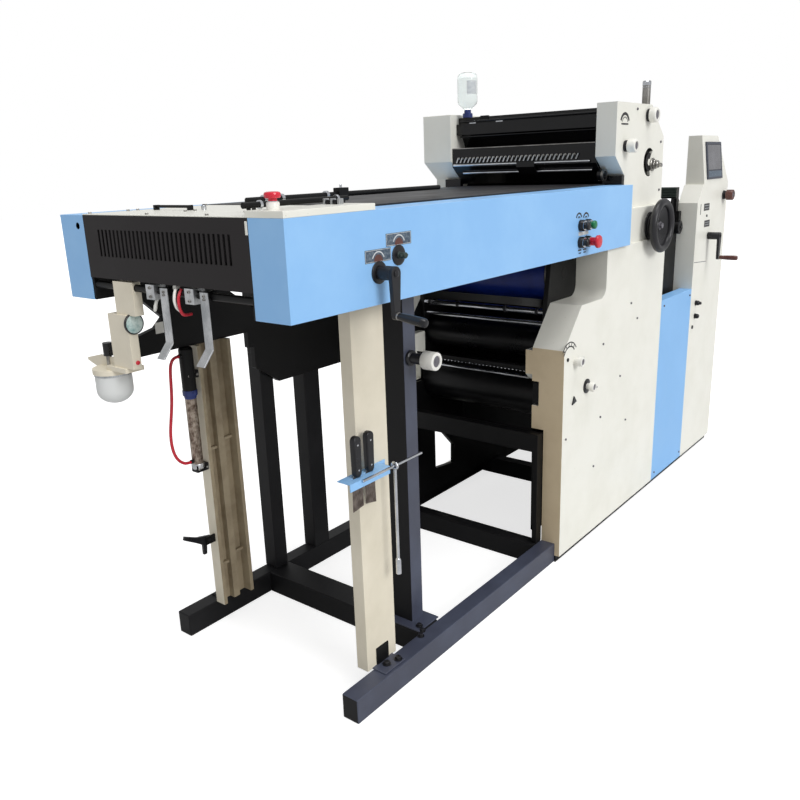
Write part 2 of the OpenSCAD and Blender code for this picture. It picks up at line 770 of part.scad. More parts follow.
// Ink fountain: a trough between the walls, an apron under it, and a row of slanting keys on the apron
module ink_tray() {
    x = fountain_x;
    z = fountain_z;
    near_end = -head_near_in;
    key_first = near_end + 81;
    key_pitch = (head_far_in - 31 - key_first) / (key_count - 1);
    key = [[2, -11], [8, -11], [-2, 11], [-8, 11]];
    color("#3b3b40") union() {
        xz_plate([[x, z], [x + 6, z], [x + 16, z - 35], [x + 64, z - 41], [x + 94, z - 23],
            [x + 98, z - 27], [x + 66, z - 47], [x + 5, z - 40], [x + 5, z - 77], [x + 86, z - 150],
            [x + 82, z - 154], [x, z - 79]], near_end, head_far_in);
        for (y = [near_end, head_far_in - 5])
            xz_plate([[x, z], [x + 94, z - 3], [x + 98, z - 27], [x + 66, z - 47], [x, z - 40]], y, y + 5);
        for (i = [0 : key_count - 1])
            yz_plate([for (p = key) p + [key_first + i * key_pitch, z - 51]], x - 5, x);
        bar_y(x - 2, z - 72, 10, near_end + 25, head_far_in - 7);
        bar_y(x + 23, z - 106, 10, near_end + 25, head_far_in - 43);
        xz_plate([[x - 8, z - 64], [x, z - 62], [x, z - 79], [x + 36, z - 112], [x + 28, z - 120],
            [x - 8, z - 87]], -40, 45);
        bar_y(x + 32, z - 128, 46, near_end - 24, near_end);
    }
}

module head_rollers() {
    color("#2a2a2e") for (r = [[86, -235, 50], [152, -247, 70], [156, -327, 74], [229, -285, 76],
        [244, -187, 90], [169, -157, 70], [324, -247, 90], [374, -147, 80]])
        bar_y(head_front + r[0], head_top + r[1], r[2], -head_near_in + seat_gap, head_far_in - seat_gap);
}

module water_bottle() {
    color("#dfe8e6") translate([head_front + 64, head_far_in - 48, head_top - 14]) rotate_extrude()
        polygon([[0, 0], [22, 0], [22, 18], [14, 20], [14, 34], [30, 46], [42, 60], [44, 74], [44, 170],
            [40, 182], [30, 186], [0, 186]]);
}

// Dished handwheel: flange and hub on the shaft, a cone of sheet out to the round rim
module handwheel() {
    r = wheel_d / 2 - wheel_rim_d / 2;
    color("#1f1f22") union() {
        facing(wheel_at, -gear_out) rotate_extrude() {
            polygon([[0, turn_gap], [52, turn_gap], [52, 17], [27, 20], [r, wheel_reach - 6],
                [r, wheel_reach + 3], [26, 30], [22, 33], [22, 42], [19, 45], [0, 45]]);
            translate([r, wheel_reach]) circle(d = wheel_rim_d);
        }
        bar_y(wheel_at[0], wheel_at[1], wheel_shaft_d, -gear_out - 10, -gear_out + 55);
    }
}

// Turning knob on a face at y: collar, neck and a head with a dished end
module knob(at, y, d, reach, head, depth) {
    r = d / 2;
    union() {
        facing(at, y - turn_gap) rotate_extrude() polygon([[0, 0], [r * 0.85, 0], [r * 0.85, 9],
            [r * 0.6, 11], [r * 0.6, reach - head], [r - 2, reach - head], [r, reach - head + 3],
            [r, reach - 4], [r - 3, reach], [r * 0.62, reach], [r * 0.56, reach - 4], [0, reach - 4]]);
        bar_y(at[0], at[1], shaft_d, y - turn_gap - 5, y + depth);
    }
}

module upper_knob() {
    color("#f1efe8") knob(upper_knob_at, -head_near_out, knob_d, knob_len, 28, 45);
}

module lower_knob() {
    color("#f1efe8") knob(lower_knob_at, -head_near_out, knob_d - 8, knob_len + 8, 34, 45);
}

module post_knob() {
    color("#f1efe8") knob(post_knob_at, -near_post_y, knob_d - 4, knob_len + 60, 46, 35);
}

module feeder_knob() {
    color("#2c2320") knob(feeder_knob_at, -unit_out, knob_d - 8, knob_len + 10, 34, 45);
}

module lower_cylinder() {
    x = lower_cylinder_at[0];
    z = lower_cylinder_at[1];
    color("#16265a") union() {
        bar_y(x, z, cylinder_d, -inner_in + 12, inner_in - 12);
        bar_y(x, z, cylinder_d - 8, -inner_in + 3, inner_in - 3);
        bar_y(x, z, journal_d, -unit_in, unit_in);
    }
}

module lower_rollers() {
    color("#1b1b1d") for (r = [[179, 850, 130], [189, 640, 200]])
        bar_y(unit_front + r[0], r[1], r[2], -inner_in + seat_gap, inner_in - seat_gap);
}

// Bars across the unit and a comb of sheet guides between the cheeks
module lower_bars() {
    teeth = 30;
    comb_x = unit_front + 29;
    comb_z = cheek_z + 23;
    pitch = 2 * (cheek_in - 20) / teeth;
    color("#d6d8dc") {
        bar_y(unit_front + 123, unit_shelf_z - 36, 24, -inner_in, inner_in);
        bar_y(unit_front + 125, unit_shelf_z - 84, 18, -inner_in, inner_in);
        bar_y(comb_x - 5, comb_z - 18, 12, -cheek_in, cheek_in);
        union() {
            span([comb_x + 10, -cheek_in, comb_z], [comb_x + 14, cheek_in, comb_z + 18]);
            for (i = [0 : teeth - 1]) translate([comb_x, -cheek_in + 20 + i * pitch, comb_z])
                cube([14, pitch / 3, 4]);
        }
    }
}

module near_feeder_column() {
    z = feeder_neck_z;
    color("#eeeadd") difference() {
        union() {
            xz_plate([[feeder_front, skirt_gap], [feeder_front, feeder_shoulder], [feeder_front + 66, z],
                [feeder_rear, z], [feeder_rear, skirt_gap]], -unit_out, -feeder_in);
            intersection() {
                xz_plate([[feeder_front + 77, z - 10], [feeder_front + 77, feeder_top],
                    [feeder_front + 316, feeder_top], [feeder_rear, z], [feeder_rear, z - 10]],
                    -unit_out - 10, -feeder_in - 2);
                yz_plate([[-unit_out, z - 10], [-unit_out, z], [-unit_out + 27, feeder_top],
                    [-feeder_in, feeder_top], [-feeder_in, z - 10]], feeder_front, feeder_rear);
            }
        }
        span([feeder_front - cut, -frame_out - cut, 0], [feeder_rear + cut, -feeder_in + cut, rail_h]);
        bore_y(feeder_knob_at, shaft_d, -unit_out - cut, -unit_out + 50);
        bore_y(feeder_crank_at, shaft_d, -unit_out - cut, -unit_out + 70);
    }
}

module far_feeder_column() {
    color("#eeeadd") difference() {
        xz_plate([[feeder_front, skirt_gap], [feeder_front, feeder_shoulder],
            [feeder_front + 66, feeder_neck_z], [feeder_rear, feeder_neck_z], [feeder_rear, skirt_gap]],
            feeder_in, unit_out);
        span([feeder_front - cut, feeder_in - cut, 0], [feeder_rear + cut, frame_out + cut, rail_h]);
    }
}

// Screen that lies on the leaning face of the control head, inside a raised bezel
module control_screen() {
    lean = atan(27 / (feeder_top - feeder_neck_z));
    bezel = 12;
    color("#23262b") translate([feeder_front + 115, -unit_out, feeder_neck_z])
        rotate([-lean, 0, 0]) translate([0, 0, 22]) difference() {
            span([0, -8, 0], [screen_w, 0, screen_h]);
            span([bezel, -8 - cut, bezel], [screen_w - bezel, -5, screen_h - bezel]);
        }
}

module feeder_crank() { color("#2c2320") crank(feeder_crank_at, -unit_out, 65, 50, 0); }

module feeder_table() {
    color("#7a7d80") span([feeder_front + 40, -feeder_in, 300], [feeder_rear - 20, feeder_in, 325]);
}

// Side plates from the unit to the feeder, the board and the ribbed bridge bar between them, and the
// bracket with its round stop on the near plate
module feed_board() {
    x0 = unit_rear;
    x1 = feeder_front + 80;
    low = strip_top - 28;
    bridge_x = feeder_front - 36;
    bracket_x = feeder_front - 56;
    rib = 3;
    seat = 2;
    color("#2a2c2d") {
        union() {
            for (s = [-1, 1]) on_side(s) xz_plate([[x0, low], [x0, unit_top - 10], [x0 + 120, unit_top + 10],
                [bridge_x - 80, unit_top + 40], [bridge_x - 40, bridge_z], [bridge_x + 36, bridge_z],
                [x1, unit_top + 20], [x1, low]], board_in, feeder_in);
            span([x0, -board_in - seat, board_z], [x1, board_in + seat, board_z + 12]);
            span([bridge_x, -feeder_in, bridge_z - seat], [bridge_x + 36, feeder_in, bridge_z + 50]);
            for (i = [0 : 3]) span([bridge_x - rib, -feeder_in, bridge_z + 4 + 12 * i],
                [bridge_x + seat, feeder_in, bridge_z + 10 + 12 * i]);
            span([bracket_x, -feeder_in - 10, bridge_z - 150], [bracket_x + 30, -board_in, bridge_z]);
            span([bracket_x, -feeder_in - 26, bridge_z - 110], [bracket_x + 30, -board_in, bridge_z - 60]);
            boss([bracket_x + 15, bridge_z - 137], -board_in - seat, 62, 40);
        }
    }
}

module strip_covers() {
    color("#5f9bd8") for (s = [-1, 1]) on_side(s) difference() {
        xz_plate([[unit_rear, skirt_gap], [unit_rear, strip_top], [feeder_front, strip_top],
            [feeder_front, skirt_gap]], unit_out - 60, unit_out);
        span([unit_rear - cut, unit_out - 61, 0], [feeder_front + cut, frame_out + cut, rail_h]);
    }
}

floor_frame();
frame_posts();
near_chain_guard();
far_chain_guard();
track_plates();
delivery_covers();
delivery_end_panel();
delivery_top_cover();
delivery_lids();
push_buttons();
delivery_bars();
sheet_stops();
powder_bracket();
powder_bowl();
air_cylinder();
air_hose();
release_lever();
delivery_crank();
control_bosses();
tool_rack();
hanging_tools();
near_side_frame();
far_side_frame();
inner_frames();
near_gear_cover();
far_drive_cover();
near_head_wall();
far_head_wall();
ink_guard();
ink_tray();
head_rollers();
water_bottle();
handwheel();
upper_knob();
lower_knob();
post_knob();
lower_cylinder();
lower_rollers();
lower_bars();
near_feeder_column();
far_feeder_column();
control_screen();
feeder_knob();
feeder_crank();
feeder_table();
feed_board();
strip_covers();
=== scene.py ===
"""Looks of a small two-unit sheet-fed offset press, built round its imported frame.

Each class under "Sub-assemblies" is one part of the press: its fields are sizes and places in millimetres,
in the frame's own axes, and its methods build the meshes and dress them. X runs along the press towards the
feeder, Y away from the operator and Z up from the floor.
"""
import json
import logging
import math
from dataclasses import dataclass, field
from enum import Enum
from typing import Sequence

import bmesh
import bpy
import numpy as np
from mathutils import Matrix, Vector


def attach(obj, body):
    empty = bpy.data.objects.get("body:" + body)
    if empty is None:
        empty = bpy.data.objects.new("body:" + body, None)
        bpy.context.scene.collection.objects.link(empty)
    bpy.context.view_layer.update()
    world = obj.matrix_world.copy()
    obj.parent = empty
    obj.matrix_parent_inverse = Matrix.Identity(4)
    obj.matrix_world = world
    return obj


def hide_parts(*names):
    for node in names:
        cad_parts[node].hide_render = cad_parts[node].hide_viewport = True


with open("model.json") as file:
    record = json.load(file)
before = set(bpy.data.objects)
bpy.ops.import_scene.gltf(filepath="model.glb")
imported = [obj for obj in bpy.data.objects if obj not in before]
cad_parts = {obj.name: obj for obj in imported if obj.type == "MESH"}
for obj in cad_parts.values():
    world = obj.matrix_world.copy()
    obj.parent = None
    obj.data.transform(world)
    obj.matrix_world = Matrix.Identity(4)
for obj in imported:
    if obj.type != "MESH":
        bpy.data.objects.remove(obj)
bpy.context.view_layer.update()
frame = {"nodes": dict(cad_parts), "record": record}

LOG = logging.getLogger("press")
MM = 0.001
FACING_COSINE = 0.7
Array = np.ndarray
Point = Sequence[float]


class Plane(Enum):
    """Plane in which an outline is drawn, and so the axis that it is extruded along."""

    XZ = (0, 2, 1)
    YZ = (1, 2, 0)
    XY = (0, 1, 2)


class Axis(Enum):
    """Directions that turned forms point in."""

    EAST = (1.0, 0.0, 0.0)
    WEST = (-1.0, 0.0, 0.0)
    AWAY = (0.0, 1.0, 0.0)
    NEAR = (0.0, -1.0, 0.0)
    UP = (0.0, 0.0, 1.0)


# Shapes


@dataclass
class Surface:
    """Points in millimetres and the faces between them, as blocks of rows with equal corner counts."""

    points: Array
    faces: list[Array]

    def copies(self, shifts: Array) -> "Surface":
        """The same form repeated at every shift, as one surface.

        Args:
            shifts: one vector a copy.

        Returns:
            All copies joined. A copy's corner numbers are the first one's plus its place times the
            point count.
        """
        shifts = np.asarray(shifts, float)
        points = (self.points[None] + shifts[:, None]).reshape(-1, 3)
        step = np.arange(len(shifts)) * len(self.points)
        faces = [(rows[None] + step[:, None, None]).reshape(-1, rows.shape[1]) for rows in self.faces]
        return Surface(points, faces)

    def turned_about(self, centre: Point, axis: Axis, degrees: float) -> "Surface":
        """The same form, turned about an axis through a centre."""
        turn = np.array(Matrix.Rotation(math.radians(degrees), 3, Vector(axis.value)))
        centre = np.asarray(centre, float)
        return Surface((self.points - centre) @ turn.T + centre, self.faces)


def joined(surfaces: Sequence[Surface]) -> Surface:
    """All surfaces as one, with their corner numbers shifted to follow each other."""
    starts = np.cumsum([0] + [len(s.points) for s in surfaces[:-1]])
    points = np.concatenate([s.points for s in surfaces])
    return Surface(points, [rows + start for s, start in zip(surfaces, starts) for rows in s.faces])


def grid_faces(rows: int, columns: int, wrap_rows: bool = False) -> Array:
    """Four-cornered faces between neighbouring rings of a grid whose columns close on themselves.

    Args:
        rows: number of rings.
        columns: points in a ring.
        wrap_rows: whether the last ring joins the first.

    Returns:
        One row of four corner numbers a face.
    """
    row = np.arange(rows if wrap_rows else rows - 1)[:, None]
    column = np.arange(columns)[None, :]
    after, below = (column + 1) % columns, (row + 1) % rows
    corners = [row * columns + column, row * columns + after, below * columns + after,
               below * columns + column]
    return np.stack(np.broadcast_arrays(*corners), -1).reshape(-1, 4)


def ringed(points: Array, closed: bool = False) -> Surface:
    """A surface through rings of points, closed at both ends with a flat face unless its rings close.

    Args:
        points: rings by points by three.
        closed: whether the last ring joins the first.

    Returns:
        The closed surface.
    """
    rows, columns = points.shape[:2]
    faces = [grid_faces(rows, columns, closed)]
    if not closed:
        ring = np.arange(columns)[None]
        faces += [ring[:, ::-1], ring + (rows - 1) * columns]
    return Surface(points.reshape(-1, 3), faces)


def square_to(axis: Array) -> tuple[Array, Array]:
    """Two unit vectors square to an axis and to each other."""
    helper = np.array([0.0, 0.0, 1.0]) if abs(axis[2]) < 0.9 else np.array([1.0, 0.0, 0.0])
    first = np.cross(helper, axis)
    first /= np.linalg.norm(first)
    return first, np.cross(axis, first)


def turned(profile: Sequence[Point], base: Point, axis: Axis | Point, sides: int = 48,
           closed: bool = False) -> Surface:
    """A profile turned round an axis, as on a lathe.

    Each point is the base, plus its height times the axis, plus its radius times the cosine and sine of the
    turn's angle along two directions square to the axis.

    Args:
        profile: pairs of radius and height along the axis.
        base: the point that heights are counted from.
        axis: the direction of the heights.
        sides: points round the turn.
        closed: whether the profile is a closed loop, as of a ring.

    Returns:
        The turned form.
    """
    along = np.array(axis.value if isinstance(axis, Axis) else axis, float)
    along /= np.linalg.norm(along)
    first, second = square_to(along)
    angle = np.arange(sides) * (2 * math.pi / sides)
    ring = np.cos(angle)[:, None] * first + np.sin(angle)[:, None] * second
    radius, height = np.asarray(profile, float).T
    points = np.asarray(base, float) + height[:, None, None] * along + radius[:, None, None] * ring[None]
    return ringed(points, closed)


def prism(outline: Sequence[Point], plane: Plane, low: float, high: float) -> Surface:
    """An outline carried straight from one depth to another, square to its plane.

    Args:
        outline: corners in the plane's two axes.
        plane: which two axes those are.
        low: where the form starts on the third axis.
        high: where it ends.

    Returns:
        The closed prism.
    """
    corners = np.asarray(outline, float)
    points = np.zeros((2, len(corners), 3))
    points[:, :, plane.value[0]] = corners[:, 0]
    points[:, :, plane.value[1]] = corners[:, 1]
    points[:, :, plane.value[2]] = np.array([low, high])[:, None]
    return ringed(points)


def block(low: Point, high: Point) -> Surface:
    """A rectangular block between two corners."""
    outline = [(low[0], low[1]), (high[0], low[1]), (high[0], high[1]), (low[0], high[1])]
    return prism(outline, Plane.XY, low[2], high[2])


def rod(start: Point, end: Point, diameter: float, sides: int = 32, soften: float = 0.6) -> Surface:
    """A round rod between two points, its ends broken by a small chamfer."""
    start, end = np.asarray(start, float), np.asarray(end, float)
    length, radius = float(np.linalg.norm(end - start)), diameter / 2
    soften = min(soften, radius / 3, length / 3)
    profile = [(radius - soften, 0), (radius, soften), (radius, length - soften), (radius - soften, length)]
    return turned(profile, start, (end - start) / length, sides)


def swept(path: Sequence[Point], diameter: float, upright: Point, sides: int = 12) -> Surface:
    """A round tube along a path.

    At each point of the path a circle stands square to the path's direction: the point plus the radius times
    the cosine and sine of the angle along two directions square to it.

    Args:
        path: points that the tube's middle follows.
        diameter: the tube's thickness.
        upright: a direction that the path never follows.
        sides: points round the tube.

    Returns:
        The closed tube.
    """
    line = np.asarray(path, float)
    heading = np.gradient(line, axis=0)
    heading /= np.linalg.norm(heading, axis=1)[:, None]
    first = np.cross(np.asarray(upright, float), heading)
    first /= np.linalg.norm(first, axis=1)[:, None]
    second = np.cross(heading, first)
    angle = np.arange(sides) * (2 * math.pi / sides)
    ring = np.cos(angle)[None, :, None] * first[:, None] + np.sin(angle)[None, :, None] * second[:, None]
    return ringed(line[:, None] + diameter / 2 * ring)


def smooth_path(points: Sequence[Point], steps: int) -> Array:
    """A smooth line through points, by Catmull-Rom cubics.

    Between two points the line is half of the sum of the cubic's four terms, whose weights come from the two
    points and their outer neighbours.

    Args:
        points: the points that the line passes.
        steps: line points between two of them.

    Returns:
        The line's points.
    """
    line = np.asarray(points, float)
    padded = np.vstack([2 * line[0] - line[1], line, 2 * line[-1] - line[-2]])
    before, here, there, after = (part[:, None] for part in (padded[:-3], padded[1:-2], padded[2:-1],
                                                             padded[3:]))
    share = (np.arange(steps) / steps)[None, :, None]
    curve = 0.5 * (2 * here + (there - before) * share + (2 * before - 5 * here + 4 * there - after) * share**2
                   + (3 * here - before - 3 * there + after) * share**3)
    return np.vstack([curve.reshape(-1, 3), line[-1:]])


def arc_band(centre: Point, inner: float, outer: float, start: float, end: float, low: float,
             high: float) -> Surface:
    """Part of a flat ring that lies in the X-Z plane.

    Args:
        centre: its middle's X and Z.
        inner: inner radius, or 0 for a sector.
        outer: outer radius.
        start: first angle in degrees, from X towards Z.
        end: last angle.
        low: where it starts on Y.
        high: where it ends.

    Returns:
        The closed band.
    """
    angle = np.radians(np.linspace(start, end, 25))
    edge = np.column_stack([np.cos(angle), np.sin(angle)])
    return prism(np.vstack([outer * edge, max(inner, 0.01) * edge[::-1]]) + np.asarray(centre, float),
                 Plane.XZ, low, high)


def link(ends: Sequence[Point], radii: Point, low: float, high: float) -> Surface:
    """A flat bar in the X-Z plane whose two round ends have their own radii.

    The straight sides touch both circles: each leaves its circle at the angle whose sine is the difference of
    the radii over the distance between the ends.

    Args:
        ends: X and Z of the two round ends.
        radii: their radii.
        low: where the bar starts on Y.
        high: where it ends.

    Returns:
        The closed bar.
    """
    first, second = (np.asarray(end, float) for end in ends)
    run = second - first
    heading = math.atan2(run[1], run[0])
    lean = math.asin((radii[0] - radii[1]) / np.linalg.norm(run))
    half = math.pi / 2 - lean
    rear = heading + np.linspace(half, 2 * math.pi - half, 17)
    fore = heading + np.linspace(-half, half, 17)
    outline = np.vstack([first + radii[0] * np.column_stack([np.cos(rear), np.sin(rear)]),
                         second + radii[1] * np.column_stack([np.cos(fore), np.sin(fore)])])
    return prism(outline, Plane.XZ, low, high)


def hex_screw(head: float, seat: Point, axis: Axis) -> Surface:
    """A hexagon screw head on its washer, seated at a point and pointing along an axis."""
    washer = turned([(head * 0.8, 0), (head * 0.8, head * 0.12)], seat, axis, 16)
    low, high, rim = head * 0.12, head * 0.62, head * 0.56
    top = turned([(rim, low), (rim, high - head * 0.06), (rim * 0.86, high)], seat, axis, 6)
    return joined([washer, top])


def socket_screw(head: float, seat: Point, axis: Axis) -> Surface:
    """A round cap screw head with its socket, seated at a point and pointing along an axis."""
    radius, tall = head / 2, head * 0.45
    profile = [(radius, 0), (radius, tall * 0.85), (radius * 0.88, tall), (radius * 0.5, tall),
               (radius * 0.45, tall * 0.4)]
    return turned(profile, seat, axis, 18)


# Finishes


def linear(colour: str) -> tuple[float, float, float, float]:
    """An sRGB hex colour as the linear red, green, blue and alpha that shaders take."""
    parts = [int(colour[i:i + 2], 16) / 255 for i in (1, 3, 5)]
    return (*[p / 12.92 if p <= 0.04045 else ((p + 0.055) / 1.055) ** 2.4 for p in parts], 1.0)


def add_node(tree: bpy.types.NodeTree, kind: str, inputs: dict | None = None,
             **settings: object) -> bpy.types.Node:
    """Adds one shader node with its settings, values and links.

    Args:
        tree: the material's node tree.
        kind: the node's type name.
        inputs: values by socket name, where an output socket is linked instead.
        settings: the node's own properties.

    Returns:
        The new node.
    """
    made = tree.nodes.new(kind)
    for name, value in settings.items():
        setattr(made, name, value)
    for name, value in (inputs or {}).items():
        if isinstance(value, bpy.types.NodeSocket):
            tree.links.new(value, made.inputs[name])
        else:
            made.inputs[name].default_value = value
    return made


def blank_material(name: str) -> tuple[bpy.types.Material, bpy.types.NodeTree]:
    """A new material with an empty node tree."""
    material = bpy.data.materials.new(name)
    material.use_nodes = True
    material.node_tree.nodes.clear()
    return material, material.node_tree


def two_tone(tree: bpy.types.NodeTree, factor: bpy.types.NodeSocket, first: str, second: str, low: float,
             high: float) -> bpy.types.NodeSocket:
    """A colour that runs from one to another as a factor runs from low to high."""
    ramp = add_node(tree, "ShaderNodeValToRGB", {"Fac": factor})
    ramp.color_ramp.elements[0].position, ramp.color_ramp.elements[0].color = low, linear(first)
    ramp.color_ramp.elements[1].position, ramp.color_ramp.elements[1].color = high, linear(second)
    return ramp.outputs["Color"]


@dataclass(frozen=True)
class Coating:
    """A sprayed, moulded or rubber surface: one pigment with a fine skin, and a faint bloom of handling."""

    name: str
    colour: str
    bloom: str
    roughness: float
    grain_mm: float = 1.0
    grain_depth_mm: float = 0.02
    bloom_mm: float = 180.0
    coat: float = 0.0
    specular: float = 0.5
    specks: str = ""

    def material(self) -> bpy.types.Material:
        """Builds the coating.

        The skin is noise whose cells are as wide as the grain, taken as bump. The bloom is a broad noise that
        shifts the colour and the roughness a little, and specks are rare small spots of dirt.

        Returns:
            The material.
        """
        material, tree = blank_material(self.name)
        place = add_node(tree, "ShaderNodeTexCoord").outputs["Object"]
        skin_noise = add_node(tree, "ShaderNodeTexNoise", {
            "Vector": place, "Scale": 1 / (self.grain_mm * MM), "Detail": 2.0, "Roughness": 0.55})
        broad = add_node(tree, "ShaderNodeTexNoise", {
            "Vector": place, "Scale": 1 / (self.bloom_mm * MM), "Detail": 5.0, "Roughness": 0.6})
        colour = two_tone(tree, broad.outputs["Fac"], self.colour, self.bloom, 0.42, 0.68)
        if self.specks:
            spots = add_node(tree, "ShaderNodeTexVoronoi", {"Vector": place, "Scale": 1 / (38 * MM)})
            spot = add_node(tree, "ShaderNodeMapRange", {
                "Value": spots.outputs["Distance"], "From Min": 0.03, "From Max": 0.05, "To Min": 0.6,
                "To Max": 0.0})
            colour = add_node(tree, "ShaderNodeMix", {
                "Factor": spot.outputs["Result"], "A": colour, "B": linear(self.specks)},
                data_type="RGBA").outputs["Result"]
        rough = add_node(tree, "ShaderNodeMapRange", {
            "Value": broad.outputs["Fac"], "From Min": 0.35, "From Max": 0.7, "To Min": self.roughness - 0.05,
            "To Max": self.roughness + 0.09})
        bump = add_node(tree, "ShaderNodeBump", {
            "Height": skin_noise.outputs["Fac"], "Strength": 0.6, "Distance": self.grain_depth_mm * MM})
        shader = add_node(tree, "ShaderNodeBsdfPrincipled", {
            "Base Color": colour, "Roughness": rough.outputs["Result"], "Normal": bump.outputs["Normal"],
            "Coat Weight": self.coat, "Coat Roughness": 0.12, "Specular IOR Level": self.specular})
        add_node(tree, "ShaderNodeOutputMaterial", {"Surface": shader.outputs["BSDF"]})
        return material


@dataclass(frozen=True)
class BareMetal:
    """A bare metal worked in one direction, with the fine lines that the tool left."""

    name: str
    colour: str
    dull: str
    roughness: float
    line_mm: float = 0.9
    cloud_mm: float = 60.0
    stretch: tuple[float, float, float] = (1.0, 1.0, 14.0)

    def material(self) -> bpy.types.Material:
        """Builds the metal.

        The lines are noise whose cells are short across the working direction and many times longer along it.
        They vary the colour, the roughness and, very slightly, the height.

        Returns:
            The material.
        """
        material, tree = blank_material(self.name)
        place = add_node(tree, "ShaderNodeTexCoord").outputs["Object"]
        drawn = add_node(tree, "ShaderNodeMapping",
                         {"Vector": place, "Scale": tuple(1 / s for s in self.stretch)})
        lines = add_node(tree, "ShaderNodeTexNoise", {
            "Vector": drawn.outputs["Vector"], "Scale": 1 / (self.line_mm * MM), "Detail": 3.0})
        cloud = add_node(tree, "ShaderNodeTexNoise", {
            "Vector": place, "Scale": 1 / (self.cloud_mm * MM), "Detail": 4.0})
        mixed = add_node(tree, "ShaderNodeMath", {0: lines.outputs["Fac"], 1: cloud.outputs["Fac"]},
                         operation="MULTIPLY")
        colour = two_tone(tree, mixed.outputs["Value"], self.dull, self.colour, 0.14, 0.36)
        rough = add_node(tree, "ShaderNodeMapRange", {
            "Value": mixed.outputs["Value"], "From Min": 0.12, "From Max": 0.4,
            "To Min": self.roughness + 0.12, "To Max": self.roughness - 0.04})
        bump = add_node(tree, "ShaderNodeBump", {
            "Height": lines.outputs["Fac"], "Strength": 0.25, "Distance": 0.04 * MM})
        shader = add_node(tree, "ShaderNodeBsdfPrincipled", {
            "Base Color": colour, "Roughness": rough.outputs["Result"], "Normal": bump.outputs["Normal"],
            "Metallic": 1.0})
        add_node(tree, "ShaderNodeOutputMaterial", {"Surface": shader.outputs["BSDF"]})
        return material


@dataclass(frozen=True)
class ClearPlastic:
    """A thin translucent moulding that lets light through and still shows its own milky colour."""

    name: str
    colour: str
    roughness: float
    clear: float

    def material(self) -> bpy.types.Material:
        """Builds the plastic.

        Light passes by transmission, and a broad noise makes the wall slightly cloudier in places.

        Returns:
            The material.
        """
        material, tree = blank_material(self.name)
        place = add_node(tree, "ShaderNodeTexCoord").outputs["Object"]
        cloud = add_node(tree, "ShaderNodeTexNoise", {"Vector": place, "Scale": 1 / (25 * MM), "Detail": 3.0})
        rough = add_node(tree, "ShaderNodeMapRange", {
            "Value": cloud.outputs["Fac"], "To Min": self.roughness, "To Max": self.roughness + 0.12})
        shader = add_node(tree, "ShaderNodeBsdfPrincipled", {
            "Base Color": linear(self.colour), "Roughness": rough.outputs["Result"],
            "Transmission Weight": self.clear, "IOR": 1.45})
        add_node(tree, "ShaderNodeOutputMaterial", {"Surface": shader.outputs["BSDF"]})
        return material


